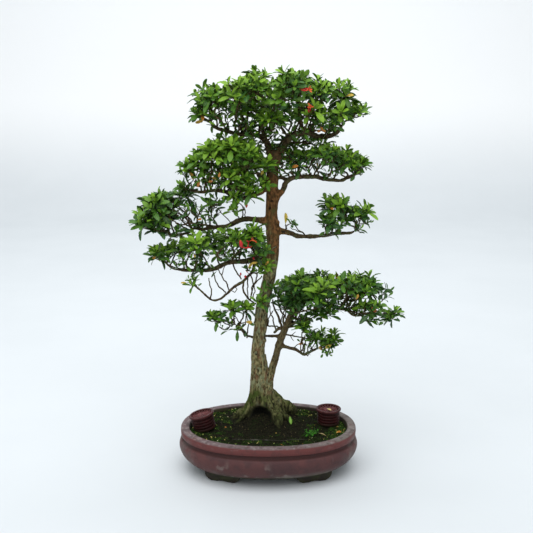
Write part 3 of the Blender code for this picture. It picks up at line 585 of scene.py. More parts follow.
trunks = solid("trunks_and_roots", *surface_of(wood_field))
even = trunks.modifiers.new("even", "SMOOTH")
even.factor = 0.5
even.iterations = 4
settled(trunks)
normals = np.zeros(len(trunks.data.vertices) * 3)
trunks.data.vertices.foreach_get("normal", normals)
for vertex, normal in zip(trunks.data.vertices, normals.reshape(-1, 3)):
    p = vertex.co
    fissure = noise.fractal(Vector((p.x * 190, p.y * 190, p.z * 34)), 0.7, 2.0, 4)
    lump = noise.fractal(Vector((p.x * 75, p.y * 75, p.z * 50 + 7)), 0.75, 2.0, 4)
    low = min(1, max(0, (0.17 - p.z) / 0.08))
    fissure *= FISSURE + FISSURE_AT_FOOT * low
    lump *= LUMP + LUMP_AT_FOOT * low
    vertex.co = p + Vector(normal) * MM * (fissure + lump)

bark = Finish("old_bark", 0.9, 0.12)
wander = bark.reckon("MULTIPLY_ADD", bark.speckle(24, 0.25, 0.75), 0.09, bark.axis("Z"))
rusty = bark.mix(bark.speckle(330, 0.36, 0.62, 6, (1, 1, 0.45)), (0.085, 0.046, 0.018), (0.24, 0.112, 0.042))
rusty = bark.over(rusty, (0.1, 0.09, 0.03), bark.speckle(130, 0.48, 0.62, 5, (1, 1, 0.5)), 0.7)
greyed = bark.mix(bark.speckle(300, 0.38, 0.62, 6, (1, 1, 0.5)), (0.1, 0.085, 0.036), (0.33, 0.29, 0.14))
greyed = bark.over(greyed, (0.17, 0.085, 0.045), bark.speckle(160, 0.52, 0.64, 5, (1, 1, 0.5)), 0.75)
lichen = bark.speckle(190, 0.5, 0.62, 5, (1, 1, 0.6))
greyed = bark.over(greyed, (0.22, 0.25, 0.14), lichen, bark.up(400, 300), 0.75)
mossy = bark.mix(bark.speckle(250, 0.38, 0.6, 6, (1, 1, 0.3)), (0.014, 0.015, 0.006), (0.155, 0.16, 0.06))
mossy = bark.over(mossy, (0.06, 0.088, 0.016), bark.speckle(60, 0.46, 0.6, 5), 0.8)
bark.base(bark.between(wander, 0.125, 0.19), mossy, greyed)
bark.coat("rusty upper trunk", rusty, bark.between(wander, 0.36, 0.45))
on_second = (bark.up(148, 175), bark.up(3, 9, "X"), bark.up(305, 290))
bark.coat("brown second trunk", (0.06, 0.038, 0.017), *on_second, 0.7)
bark.coat("olive fork", (0.07, 0.056, 0.028), bark.up(462, 484), 0.65)
crack = bark.speckle(380, 0.34, 0.45, 6, (1, 1, 0.32))
in_crack = bark.mix(bark.up(300, 420), (0.04, 0.03, 0.014), (0.11, 0.055, 0.022))
bark.base(crack, in_crack, bark.colour)
bark.base(bark.up(62, 98), (0.02, 0.023, 0.009), bark.colour)
# Painted shade: the arch under the front roots and the holes in the trunk are painted near black inside, for the
# shade in them.
painted_shade_places = [(-14, 2, 80, 26, 15, (0.006, 0.006, 0.004))]
painted_shade_places += [(x, y, z, 2.1 * radius, radius, (0.007, 0.005, 0.003)) for x, y, z, radius in TRUNK_HOLES]
for x, y, z, outer, inner, shade in painted_shade_places:
    away = bark.reckon("DISTANCE", bark.where, (x * MM, y * MM, z * MM), kind="ShaderNodeVectorMath")
    bark.coat("painted shade in a hollow", shade, bark.between(away, outer * MM, inner * MM))
flakes = put(bark.tree, "ShaderNodeMix", {"data_type": "FLOAT"}, Factor=0.5, A=crack,
             B=bark.speckle(520, 0.2, 0.8, 8))
trunks.data.materials.append(bark.done(flakes, 1.6))
stands_for(trunks, "wood", "wood")


# The limbs are trained stems that leave the trunk at a swollen collar, crooked where they were bent and wired.
# Their bark is darker and finer than the trunk's, with a little green on top.
# The collar's length in steps and how much it swells, and how many millimetres a limb wanders.
COLLAR_STEPS, COLLAR_SWELL = 5, 0.35
LIMB_CROOK = 1.5


def node_tree(name, *inputs):
    """A new Geometry Nodes tree with the named inputs, and its input node."""
    tree = bpy.data.node_groups.new(name, "GeometryNodeTree")
    for title, kind in (("Geometry", "Geometry"),) + inputs:
        tree.interface.new_socket(title, in_out="INPUT", socket_type="NodeSocket" + kind)
    tree.interface.new_socket("Geometry", in_out="OUTPUT", socket_type="NodeSocketGeometry")
    return tree, put(tree, "NodeGroupInput").outputs


def ends_in(tree, geometry, material):
    """Closes the tree: copies are made real and take the material."""
    real = put(tree, "GeometryNodeRealizeInstances", Geometry=geometry)
    put(tree, "NodeGroupOutput", Geometry=put(tree, "GeometryNodeSetMaterial", Geometry=real, Material=material))


def made_by(tree, source, name, **inputs):
    """Runs the tree on the source with its inputs set, and keeps the result as a plain mesh."""
    modifier = source.modifiers.new(name, "NODES")
    modifier.node_group = tree
    for socket in tree.interface.items_tree:
        if socket.in_out == "INPUT" and socket.name in inputs:
            modifier[socket.identifier] = inputs[socket.name]
    mesh = bpy.data.meshes.new_from_object(source.evaluated_get(bpy.context.evaluated_depsgraph_get()))
    bpy.data.objects.remove(source)
    return add(name, mesh)


def carry(mesh, title, values):
    """Gives the points of the mesh a value each, which a tree or a finish reads by its title."""
    layer = mesh.attributes.new(title, "FLOAT", "POINT")
    layer.data.foreach_set("value", np.ascontiguousarray(values, np.float32))


def stems(name, chains, sides, material, knobbly=0.0):
    """Round stems through rows of x, y, z, thickness and youth."""
    points, edges = [], []
    for rows in chains:
        edges += [(len(points) + i, len(points) + i + 1) for i in range(len(rows) - 1)]
        points += [tuple(row) for row in rows]
    values = np.array(points, np.float32)
    mesh = bpy.data.meshes.new(name)
    mesh.from_pydata((values[:, :3] * MM).tolist(), edges, [])
    carry(mesh, "thick", values[:, 3] * MM)
    carry(mesh, "young", values[:, 4])
    return made_by(stem_maker, add("lines", mesh), name, Sides=sides, Knobbly=knobbly, Bark=material)


stem_maker, entry = node_tree("stem_maker", ("Sides", "Int"), ("Knobbly", "Float"), ("Bark", "Material"))
thick = put(stem_maker, "GeometryNodeInputNamedAttribute", {"data_type": "FLOAT"}, Name="thick")
path = put(stem_maker, "GeometryNodeMeshToCurve", Mesh=entry["Geometry"])
section = put(stem_maker, "GeometryNodeCurvePrimitiveCircle", Resolution=entry["Sides"], Radius=1.0)
tube = put(stem_maker, "GeometryNodeCurveToMesh", Curve=path, Profile_Curve=section, Scale=thick, Fill_Caps=True)
knobs = put(stem_maker, "ShaderNodeTexNoise", Scale=260.0, Detail=3.0).outputs["Fac"]
knobs = reckon(stem_maker, "MULTIPLY", reckon(stem_maker, "SUBTRACT", knobs, 0.5), entry["Knobbly"])
outwards = put(stem_maker, "ShaderNodeVectorMath", {"operation": "SCALE"},
               Vector=put(stem_maker, "GeometryNodeInputNormal"), Scale=knobs)
rough_tube = put(stem_maker, "GeometryNodeSetPosition", Geometry=tube, Offset=outwards)
ends_in(stem_maker, rough_tube, entry["Bark"])

fine = Finish("limb_bark", 0.85, 0.15)
fine.base(fine.speckle(230, 0.35, 0.65, 6), (0.032, 0.021, 0.01), (0.105, 0.075, 0.036))
fine.coat("green patches", (0.085, 0.09, 0.034), fine.speckle(90, 0.48, 0.6, 5), 0.7)
fine.coat("young shoots", (0.075, 0.045, 0.022), fine.between(fine.carried("young"), 0.3, 1.0))
limb_bark = fine.done(fine.speckle(700, 0.25, 0.75, 6), 0.7, 0.8)

noise.seed_set(5)
limb_lines = {}
for number, name in enumerate(LIMBS):
    rows = smooth_rows(limb_rows(name), 2.5)
    for i, row in enumerate(rows):
        crook = noise.noise_vector(Vector((i * 0.16, number * 3.7, 0.5)))
        row[:3] += np.array(crook) * LIMB_CROOK * min(1, i / 8)
        knobby = 0.22 * noise.noise(Vector((i * 0.33, number * 5.1, 2.5)))
        row[3] *= 1 + knobby + COLLAR_SWELL * max(0, 1 - i / COLLAR_STEPS)
    rows[-3:, 3] *= (0.9, 0.75, 0.4)
    limb_lines[name] = rows
limb_chains = [np.column_stack([rows, 0 * rows[:, 3]]) for rows in limb_lines.values()]
stands_for(stems("limbs", limb_chains, 14, limb_bark, 0.0022), "wood", "wood")


# Twigs leave the limbs in tiers and fork towards the light, each ending in a whorl of leaves.
# Every whorl is joined to the nearest stem below it, and a stem is as thick as the whorls that it carries ask.
# Each pad has its limbs, its brightness, the size of its leaves, and then three lists. The brightness is partly
# the leaves' own tone and partly painted light and shade for where the pad stands in the light. The first list is
# its
# lobes: centre and reach. The second is its thin places, where small whorls stand on bare twigs: centre, reach,
# how many, the most leaves on one, and for some the painted light (above nought) or painted shade (below nought)
# they carry. The third is the single leaves that the picture shows turned: place, how far gone from yellow to red,
# and size.
PADS = {
    "crown_leaves": (["crown_left", "crown_right"], 0.14, 1.0, [
        (-85, -5, 579, 32, 38, 34), (-103, -8, 564, 18, 24, 16), (-47, -36, 590, 27, 30, 28),
        (-20, -38, 598, 26, 34, 30), (-24, 45, 598, 34, 36, 29), (33, -45, 603, 32, 34, 28),
        (40, 42, 603, 34, 36, 27), (74, -12, 592, 25, 38, 27), (111, 4, 588, 20, 32, 25),
        (130, 8, 566, 26, 30, 18), (106, -10, 562, 20, 24, 15), (-18, 5, 571, 56, 46, 22),
        (61, -22, 563, 34, 30, 20), (3, -32, 556, 28, 24, 18), (20, -50, 586, 30, 22, 17)], [
        (-62, -8, 556, 34, 36, 14, 24, 4), (-14, -6, 550, 34, 36, 17, 34, 4),
        (34, -10, 550, 32, 34, 16, 24, 4), (84, -4, 552, 30, 32, 12, 18, 4),
        (58, 26, 526, 30, 14, 13, 28, 4), (2, 12, 530, 16, 12, 13, 14, 2), (-38, -6, 543, 18, 22, 9, 12, 2),
        (-52, 0, 541, 14, 14, 8, 8, 1), (90, 24, 540, 20, 16, 12, 12, 5), (92, -16, 546, 12, 8, 8, 5, 5),
        (70, -16, 543, 12, 8, 7, 4, 5), (70, 14, 519, 18, 14, 8, 10, 3), (30, 18, 508, 14, 12, 10, 9, 5),
        (-24, -6, 541, 10, 10, 8, 4, 5), (6, 10, 531, 16, 10, 12, 12, 3, -0.3),
        (5, 17, 514, 10, 7, 9, 9, 4, -0.3)], [
        (-96, -20, 556, 0.2, 0.7), (74, -28, 548, 0.4, 0.6), (79, -24, 542, 0.5, 0.55)]),
    "upper_left_leaves": (["upper_left"], 0.2, 1.05, [
        (-104, -5, 492, 21, 30, 25), (-122, -10, 483, 15, 20, 12), (-80, -30, 503, 28, 30, 28),
        (-70, 38, 506, 32, 34, 25), (-56, -34, 507, 24, 26, 28), (-32, -36, 501, 24, 28, 27),
        (-35, 32, 508, 30, 28, 22), (-50, -32, 472, 33, 26, 20), (-3, -27, 485, 16, 14, 21)], [
        (-78, -20, 489, 20, 16, 9, 12, 5), (-58, -24, 489, 18, 16, 8, 8, 5),
        (-98, -14, 474, 14, 16, 10, 9, 4), (-90, -14, 460, 20, 14, 9, 11, 4),
        (-40, -18, 458, 18, 14, 12, 11, 4), (-62, -14, 450, 18, 12, 8, 9, 3),
        (-24, -18, 452, 12, 12, 13, 7, 4), (-134, -8, 456, 11, 10, 7, 6, 6),
        (-126, -6, 470, 14, 14, 10, 5, 5), (-34, -18, 447, 12, 10, 8, 6, 6), (-57, -20, 441, 10, 9, 6, 5, 5),
        (-44, -22, 468, 20, 12, 10, 7, 7), (-84, -24, 472, 14, 10, 8, 5, 6),
        (-42, -32, 477, 14, 8, 10, 7, 8, 0.3), (-31, -28, 455, 7, 6, 5, 3, 7, 0.35),
        (-55, -26, 446, 6, 6, 4, 2, 6, 0.4), (-8, -24, 464, 3, 3, 5, 2, 5, 0.4),
        (-8, -20, 462, 7, 6, 5, 4, 7, 0.1)], [
        (-112, -18, 466, 0.25, 0.75), (-104, -22, 468, 0.4, 0.6), (-86, -30, 474, 0.1, 0.6),
        (-72, -48, 484, 0.35, 0.6), (-82, -34, 468, 0.6, 0.5), (-32, -30, 438, 0.9, 0.55),
        (-12, -36, 476, 0.0, 0.65)]),
    "back_upper_leaves": (["back_upper"], 0.0, 1.0, [
        (-22, 69, 482, 29, 26, 19)], [], []),
    "upper_right_leaves": (["upper_right"], 0.0, 0.92, [
        (49, 25, 493, 28, 30, 20), (85, -15, 502, 29, 32, 24), (119, 12, 491, 27, 34, 23),
        (140, -2, 488, 17, 24, 16), (104, 45, 490, 25, 28, 19)], [
        (26, 10, 499, 13, 9, 20, 13, 5), (24, 8, 484, 9, 8, 12, 10, 3), (44, -2, 482, 18, 18, 9, 11, 3),
        (85, 0, 480, 34, 22, 9, 18, 3), (125, 0, 480, 26, 20, 8, 11, 3)], []),
    "middle_left_leaves": (["middle_left"], -0.2, 1.1, [
        (-172, -8, 417, 24, 30, 31), (-190, -8, 401, 20, 26, 23), (-157, 22, 423, 27, 32, 27),
        (-174, -18, 393, 25, 26, 17), (-128, 5, 441, 18, 22, 13), (-156, 30, 402, 18, 22, 18)], [
        (-116, -8, 424, 10, 10, 13, 8, 5), (-91, -8, 408, 9, 8, 8, 6, 4), (-92, -8, 422, 24, 10, 14, 13, 1),
        (-134, -8, 412, 14, 14, 16, 9, 2), (-150, -14, 386, 22, 14, 8, 7, 4)], [
        (-109, -20, 406, 0.35, 0.5)]),
    "middle_left_spray": (["middle_left"], 0.15, 0.92, [], [
        (-84, -12, 431, 20, 10, 8, 8, 6), (-98, -12, 428, 8, 8, 6, 2, 5)], []),
    "inner_left_spray": (["middle_left"], 0.5, 0.92, [], [
        (-53, -10, 421, 5, 7, 7, 4, 7)], []),
    "middle_right_leaves": (["middle_right"], -0.02, 1.0, [
        (97, 10, 420, 20, 26, 23), (90, -14, 401, 15, 20, 19), (110, -5, 427, 15, 20, 14),
        (143, 4, 410, 19, 22, 15), (122, 10, 412, 12, 18, 13)], [
        (98, -8, 392, 15, 14, 9, 12, 5), (126, -4, 400, 14, 12, 9, 12, 4), (146, 0, 396, 12, 10, 8, 6, 5),
        (78, -8, 412, 3, 4, 3, 1, 3)], []),
    "inner_right_spray": (["middle_right"], 0.1, 0.85, [], [
        (37, -13, 404, 5, 5, 3, 3, 5), (27, -10, 397, 5, 5, 2, 2, 2)], [
        (27, -16, 400, 0.0, 0.8)]),
    "low_left_leaves": (["low_left"], 0.05, 0.96, [
        (-170, -5, 350, 22, 26, 18), (-141, 22, 350, 22, 26, 18), (-111, -22, 364, 24, 28, 21),
        (-86, 25, 364, 25, 28, 22), (-47, -28, 376, 27, 26, 23), (-22, -32, 384, 19, 18, 18)], [
        (-145, -10, 340, 22, 14, 9, 13, 5), (-118, -12, 336, 16, 14, 10, 10, 5),
        (-96, -10, 336, 16, 12, 12, 10, 4), (-66, -16, 355, 18, 14, 10, 15, 4),
        (-36, -18, 355, 18, 14, 9, 12, 3), (-11, -27, 362, 10, 8, 13, 9, 6),
        (-32, -18, 328, 12, 10, 12, 4, 4)], [
        (-31, -30, 334, 0.1, 0.6), (-22, -46, 378, 0.8, 0.5), (-112, -44, 361, 0.1, 0.5)]),
    "back_low_leaves": (["back_low"], 0.0, 1.0, [
        (-30, 67, 354, 30, 27, 20)], [], []),
    "hanging_spray": (["hanging"], 0.4, 0.85, [], [
        (-112, -25, 311, 13, 9, 9, 7, 5)], [
        (-124, -32, 313, 0.1, 0.5)]),
    "trunk_spray_upper": (["hanging"], 0.4, 0.88, [], [
        (-9, -22, 336, 9, 5, 11, 8, 8, 0.1), (-7, -20, 356, 8, 5, 9, 5, 6, -0.25)], [
        (-14, -34, 344, 0.1, 0.6), (-4, -34, 338, 0.2, 0.5)]),
    "trunk_spray_lower": (["trunk"], 0.25, 0.88, [], [
        (-12, -17, 287, 9, 6, 12, 8, 7)], []),
    "lowest_left_leaves": (["lowest_left"], 0.0, 0.92, [
        (-82, -15, 250, 18, 18, 15), (-58, -5, 262, 18, 20, 13), (-36, 2, 261, 14, 16, 12)], [
        (-64, -10, 241, 18, 12, 9, 11, 4), (-40, -6, 240, 14, 10, 12, 6, 3)], [
        (-37, -12, 244, 0.2, 0.65)]),
    "lowest_right_leaves": (["lowest_right", "second_trunk"], 0.05, 0.76, [
        (56, -12, 237, 14, 16, 15), (75, 0, 214, 17, 20, 14), (92, -5, 206, 14, 16, 12),
        (105, -5, 214, 9, 10, 7)], [
        (48, -2, 242, 14, 14, 14, 16, 1), (62, -8, 206, 14, 12, 10, 9, 3), (90, -12, 200, 12, 10, 8, 6, 5)], [
        (99, -18, 211, 0.1, 0.7), (87, -14, 198, 0.2, 0.65), (46, -10, 207, 0.45, 0.5)]),
    "big_right_leaves": (["big_right", "second_trunk"], -0.06, 1.0, [
        (31, 35, 284, 20, 28, 25), (50, -10, 300, 26, 32, 26), (79, -38, 289, 27, 28, 28),
        (86, 32, 292, 32, 32, 26), (118, -25, 302, 28, 30, 23), (135, 32, 289, 29, 28, 25),
        (150, 0, 290, 28, 34, 28), (157, -22, 266, 23, 22, 17), (84, -22, 260, 26, 22, 17),
        (158, -4, 303, 12, 16, 11), (195, 5, 247, 11, 12, 9)], [
        (60, -14, 270, 28, 20, 12, 12, 4), (116, -14, 275, 16, 14, 13, 14, 4),
        (136, -12, 270, 20, 16, 10, 8, 4), (52, -10, 251, 14, 12, 11, 18, 2),
        (16, -4, 288, 9, 12, 14, 10, 6), (24, -6, 276, 12, 12, 10, 8, 5),
        (45, -20, 288, 13, 8, 12, 14, 7, -0.2), (38, -16, 274, 10, 8, 5, 5, 6, -0.2),
        (162, -16, 250, 20, 12, 7, 8, 5), (187, 8, 285, 8, 8, 7, 4, 6), (182, 4, 258, 12, 10, 6, 3, 4)], [
        (156, -34, 275, 0.7, 0.8), (133, -40, 286, 0.25, 0.7)]),
}
# Twigs that the picture shows apart from the pads: thickness at both ends and the points they run through.
STRAY_TWIGS = [
    (1.3, 1.1, [(-55, -4, 336), (-52, -7, 328), (-47, -10, 321), (-42, -13, 313)]),
    (1.2, 0.8, [(-66, -17, 293), (-71, -17, 297), (-77, -16, 303), (-81, -14, 310), (-84, -12, 318),
                (-86, -6, 327)]),
    (1.1, 0.8, [(-61, -17, 296), (-64, -17, 306), (-69, -16, 313), (-73, -14, 320), (-76, -9, 326),
                (-80, -5, 329)]),
    (0.9, 0.6, [(-72, -14, 320), (-70, -10, 328), (-66, -6, 336)]),
    (1.2, 0.7, [(-90, -22, 285), (-88, -22, 296), (-90, -20, 306), (-92, -16, 316)]),
    (0.9, 0.7, [(-52, -15, 303), (-49, -16, 298), (-52, -17, 294), (-57, -17, 296)]),
    (1.7, 1.2, [(-38, -12, 311), (-40, -13, 300), (-38, -12, 292), (-34, -8, 284), (-28, -2, 276),
                (-20, 8, 269)]),
    (1.1, 0.8, [(-32, -9, 316), (-32, -11, 304), (-33, -10, 294), (-31, -5, 281)]),
    (1.1, 0.8, [(-28, -8, 320), (-25, -10, 310), (-24, -9, 300), (-27, -7, 288), (-29, -4, 278)]),
    (1.2, 0.8, [(-18, -8, 322), (-19, -9, 311), (-25, -10, 303), (-26, -8, 291), (-28, -3, 277)]),
    (1.1, 0.8, [(-10, -10, 318), (-16, -10, 310), (-22, -11, 304), (-21, -9, 295), (-24, -4, 280),
                (-20, 6, 273)]),
    (1.0, 0.7, [(-26, -14, 365), (-21, -8, 353), (-17, 0, 345)]),
    (1.0, 0.7, [(-22, -14, 366), (-14, -6, 352), (-10, 2, 344)]),
    (1.5, 0.8, [(-57, -4, 341), (-48, -12, 355), (-42, -18, 362), (-37, -24, 365)]),
    (3.6, 1.9, [(22, 4, 232), (16, 6, 228), (9, 10, 221)]),
    (1.3, 1.1, [(-2, 16, 231), (9, 8, 232), (14, 6, 232), (22, 4, 229)]),
    (1.9, 1.2, [(21, 4, 233), (17, 4, 243), (15, 4, 251), (13, 6, 256), (9, 8, 262), (7, 12, 275)]),
    (1.8, 1.1, [(25, 3, 236), (23, 4, 245), (25, 4, 251), (20, 6, 258), (18, 8, 264), (15, 14, 278)]),
    (1.3, 0.8, [(-1, 12, 231), (0, 9, 244), (3, 8, 250), (7, 8, 257)]),
    (1.2, 0.8, [(12, 7, 225), (8, 4, 238), (7, 3, 247), (2, 4, 256), (2, 6, 267)]),
    (1.1, 0.7, [(20, 4, 240), (24, 5, 255), (27, 8, 264), (28, 16, 276)]),
    (1.0, 0.7, [(28, 3, 241), (27, 4, 255), (31, 12, 270)]),
    (1.4, 0.9, [(20, 4, 221), (37, 0, 219), (45, -2, 218), (56, -4, 216), (66, -5, 216)]),
    (0.9, 0.5, [(37, 0, 219), (43, -3, 226)]),
    (0.9, 0.5, [(35, 0, 219), (40, -3, 211)]),
    (1.1, 0.7, [(51, -2, 192), (51, -4, 206), (53, -5, 217)]),
    (1.3, 0.8, [(56, -2, 190), (58, -5, 207), (57, -7, 221)]),
    (1.1, 0.7, [(61, -3, 190), (65, -5, 208), (67, -7, 221)]),
    (1.1, 0.8, [(55, -2, 191), (63, -3, 187), (67, -4, 196), (74, -6, 209)]),
    (1.6, 0.9, [(28, 3, 237), (35, -4, 245), (43, -8, 253), (51, -10, 264)]),
    (1.4, 0.9, [(30, 2, 243), (37, -4, 254), (40, -8, 263), (48, -10, 272)]),
    (1.4, 0.8, [(24, 3, 230), (35, -4, 237), (45, -8, 243), (53, -10, 250), (64, -10, 258)]),
    (1.3, 0.8, [(34, 2, 249), (45, -7, 246), (49, -10, 239), (57, -12, 240)]),
    (1.5, 0.9, [(30, 3, 241), (45, -3, 243), (60, -8, 246), (76, -8, 254), (92, -6, 262)]),
    (1.1, 0.6, [(32, 2, 245), (38, -5, 240), (47, -9, 252), (50, -11, 262)]),
    (1.0, 0.6, [(29, 2, 240), (39, -7, 249), (50, -10, 246), (60, -12, 252)]),
    (1.0, 0.5, [(35, -4, 244), (42, -9, 257), (45, -12, 248)]),
    (3.6, 3.0, [(9, 14, 466), (18, 11, 468), (28, 7, 466)]),
    (1.2, 0.7, [(-37, 1, 217), (-42, -4, 230), (-46, -5, 242), (-54, -6, 254)]),
    (1.2, 0.7, [(-34, 4, 214), (-33, -2, 226), (-31, -5, 240), (-36, -4, 256)]),
    (1.2, 0.7, [(58, 3, 378), (52, -3, 385), (46, -8, 390), (40, -11, 400)]),
    (0.9, 0.6, [(52, -3, 385), (44, -8, 388), (33, -10, 394)]),
    (1.9, 1.2, [(-78, -5, 394), (-92, -10, 397), (-103, -12, 398), (-120, -14, 401), (-131, -14, 398),
                (-142, -14, 402)]),
    (1.5, 0.8, [(-116, -5, 391), (-128, -10, 400), (-138, -12, 412), (-146, -12, 422)]),
    (1.5, 0.8, [(-120, -4, 389), (-134, -10, 396), (-146, -12, 405), (-154, -12, 414)]),
    (1.4, 0.8, [(-110, -5, 392), (-120, -10, 404), (-126, -12, 418), (-128, -8, 432)]),
    (1.1, 0.7, [(-41, -2, 404), (-39, -8, 418), (-40, -10, 427), (-45, -12, 432)]),
    (1.0, 0.7, [(-36, -2, 405), (-36, -8, 416), (-38, -10, 426)]),
]
# A whorl for each so many square millimetres of a lobe, and how far it stands back for its leaves.
TIP_AREA, TIP_BACK = 380.0, 11.0
# All whorls for each outer one, how low on a lobe they thin out, and how deep in another lobe they are left out.
WITH_INNER, BARE_BELOW, BURIED = 1.3, -0.12, 0.55
# The turn from one whorl or leaf to the next, and the share and length of the fresh shoots that stand out.
GOLDEN_TURN = 2.4
SHOOT_SHARE, SHOOT_LONG = 0.16, 7
# The thinnest twig, how fast a twig thickens with what it carries, and how many whorls one stem takes easily.
TWIG_FINEST, TWIG_GAIN, TWIG_LOAD = 0.62, 0.36, 5
TWIG_STEP, TWIG_WANDER = 4.5, 0.9
# What a twig avoids: a long way round, little rise, turning back and a crowded stem.
ROUND_COST, LOW_COST, BACK_COST, CROWD_COST = 0.35, 1.2, 9, 4.0

random.seed(23)
limb_lines["trunk"] = smooth_rows([row for row in TRUNK if 255 < row[2] < 310], 4)
limb_lines["second_trunk"] = smooth_rows(SECOND_TRUNK[5:], 4)


def share_of(lobe, point):
    """How far out of a lobe a point lies: 1 on its envelope."""
    return math.sqrt(sum(((point[i] - lobe[i]) / lobe[i + 3]) ** 2 for i in range(3)))


def spread(amount):
    """A small random shift."""
    return Vector([random.uniform(-amount, amount) for _ in range(3)])


def pad_tips(pad):
    """The whorls of a pad: place, aim, tone with its painted light and shade, count of leaves and size. They thin
    out towards its underside.
    """
    _, pad_light_and_tone, leaf, lobes, thin_places, turned_leaves = PADS[pad]
    others = [lobe for name, row in PADS.items() if name != pad for lobe in row[3]]
    tips = []
    for lobe in lobes:
        x, y, z = lobe[3:]
        count = max(9, round(4.19 * (x * y + y * z + z * x) / (TIP_AREA * leaf * leaf)))
        spin = random.uniform(0, 2 * math.pi)
        for k in range(round(count * WITH_INNER)):
            inner = k >= count
            lift = random.uniform(-0.2, 0.8) if inner else 1 - (2 * k + 1) / count
            bare = lift < BARE_BELOW
            if bare and random.random() < 0.2 - 0.75 * lift:
                continue
            turn = spin + k * GOLDEN_TURN + random.uniform(-0.25, 0.25)
            flat = math.sqrt(1 - lift * lift)
            way = Vector((flat * math.cos(turn), flat * math.sin(turn), lift))
            out = random.uniform(0.4, 0.72) if inner else random.uniform(0.84, 1.08)
            reach = [max(r - TIP_BACK * leaf, 0.45 * r) * out for r in lobe[3:]]
            place = Vector([lobe[i] + way[i] * reach[i] for i in range(3)])
            if any(share_of(other, place) < BURIED for other in lobes if other is not lobe):
                continue
            if any(share_of(other, place) < share_of(lobe, place) for other in others):
                continue
            aim = (way * 0.75 + Vector((0, 0, 0.62)) + spread(0.3)).normalized()
            # The tone is partly the leaves' own colour and partly painted light and shade. Whorls high on a lobe
            # are painted brighter, inner whorls are painted darker, and the pad's brightness adds its painted
            # light. The random part is the leaves' own spread.
            tone = 0.27 + 0.32 * lift + pad_light_and_tone + random.uniform(-0.24, 0.24) - (0.25 if inner else 0)
            size = random.uniform(0.9, 1.18) * leaf
            if bare:
                tips.append((place, aim, tone, random.choice((1, 2, 3, 4)), size * 0.72))
            elif inner:
                tips.append((place, aim, tone, random.choice((3, 4, 5)), size * 0.85))
            else:
                shoot = SHOOT_LONG if lift > 0.1 and random.random() < SHOOT_SHARE else 0
                tips.append((place + aim * shoot, aim, tone + 0.03 * shoot, random.choice((6, 7, 7, 8)),
                             size + 0.01 * shoot))
    for x, y, z, wide, deep, high, many, most, *painted_light_and_shade in thin_places:
        for k in range(many):
            place = Vector([c + random.uniform(-0.85, 0.85) * r for c, r in ((x, wide), (y, deep), (z, high))])
            aim = (Vector((place.x * 0.004, -0.35, 0.65)) + spread(0.55)).normalized()
            # A thin place's whorls take a random tone, the pad's brightness and their own painted light or shade.
            tone = random.uniform(-0.1, 0.45) + pad_light_and_tone + sum(painted_light_and_shade)
            count = random.randint(max(0, most - 3), most)
            tips.append((place, aim, tone, count, leaf * (random.uniform(0.66, 0.94) + (0.12 if most > 5 else 0))))
    for x, y, z, red, size in turned_leaves:
        tips.append((Vector((x, y, z)), (Vector((0, -1, 0.2)) + spread(0.3)).normalized(), 0.5, 1, size, red))
    return tips


def twigs_to(names, tips):
    """Stems from the named limbs to all the tips, forking where that is nearer, as rows of point and thickness."""
    rows = np.vstack([limb_lines[name][(0 if "trunk" in name else 8)::2] for name in names])
    places, depth, parent = rows[:, :3], np.zeros(len(rows)), list(range(len(rows)))
    roots, heading = len(rows), np.tile((0.0, 0.0, 1.0), (len(rows), 1))
    away = places - np.array((0, 14, 0))
    away[:, 2] = 0
    away /= np.maximum(np.linalg.norm(away, axis=1), 1)[:, None]
    lean, branch, load, stems = np.zeros(len(rows)) + 0.5, [0] * len(rows), [0], []
    for tip in sorted(tips, key=lambda tip: np.linalg.norm(rows[:, :3] - tip[0], axis=1).min()):
        goal = np.array(tip[0]) - np.array(tip[1]) * 1.5
        gap = goal - places
        far = np.linalg.norm(gap, axis=1)
        shift = gap - away * (lean * np.maximum(gap[:, 2], 0))[:, None]
        cost = 0.5 * far + 0.5 * np.linalg.norm(shift, axis=1) + ROUND_COST * depth
        cost += LOW_COST * np.maximum(4 - gap[:, 2], 0)
        cost += BACK_COST * np.maximum(0.2 - (gap * heading).sum(1) / np.maximum(far, 1), 0)
        cost += CROWD_COST * np.maximum(np.array(load)[branch] - TWIG_LOAD, 0)
        best = int(np.argmin(cost))
        if best < roots:
            load.append(0)
        stem = len(load) - 1 if best < roots else branch[best]
        load[stem] += 1
        start, way = Vector(places[best]), Vector(gap[best])
        length = way.length
        lead = (way.normalized() * 0.6 + Vector(heading[best]) * 0.45 + Vector((0, 0, 0.15))).normalized()
        one = start + lead * length * 0.35
        two = Vector(goal) - tip[1] * length * 0.3
        steps = max(2, round(length / TWIG_STEP))
        chain = []
        for i in range(1, steps + 1):
            t = i / steps
            point = start * (1 - t) ** 3 + one * (3 * t * (1 - t) ** 2) + two * (3 * t * t * (1 - t))
            point += Vector(goal) * t ** 3
            chain.append(point + (spread(TWIG_WANDER) if i < steps else Vector()))
        first = len(places)
        points = [start] + chain
        places = np.vstack([places] + [np.array(p)[None] for p in chain])
        heading = np.vstack([heading] + [np.array((b - a).normalized())[None] for a, b in zip(points, points[1:])])
        depth = np.append(depth, depth[best] + np.arange(1, steps + 1) * length / steps)
        depth[-1] += 40
        lean = np.append(lean, np.zeros(steps) + 0.15)
        away = np.vstack([away, np.tile(away[best], (steps, 1))])
        parent += [best] + list(range(first, first + steps - 1))
        branch += [stem] * steps
        stems.append((best, first, steps))
    carried = np.zeros(len(places))
    for best, first, steps in stems:
        node = first + steps - 1
        while node >= roots:
            carried[node] += 1
            node = parent[node]
    thick = TWIG_FINEST * np.maximum(carried, 1) ** TWIG_GAIN
    chains = []
    for best, first, steps in stems:
        picked = [best] + list(range(first, first + steps))
        limit = rows[best, 3] * 0.85 if best < roots else 9.0
        radii = [min(thick[max(i, first)] * (1.5 if i < roots else 1.0), limit) for i in picked]
        chains.append([(*places[i], radius, 1.0 if carried[i] == 1 and n > len(picked) - 4 else 0.0)
                       for n, (i, radius) in enumerate(zip(picked, radii))])
    return chains


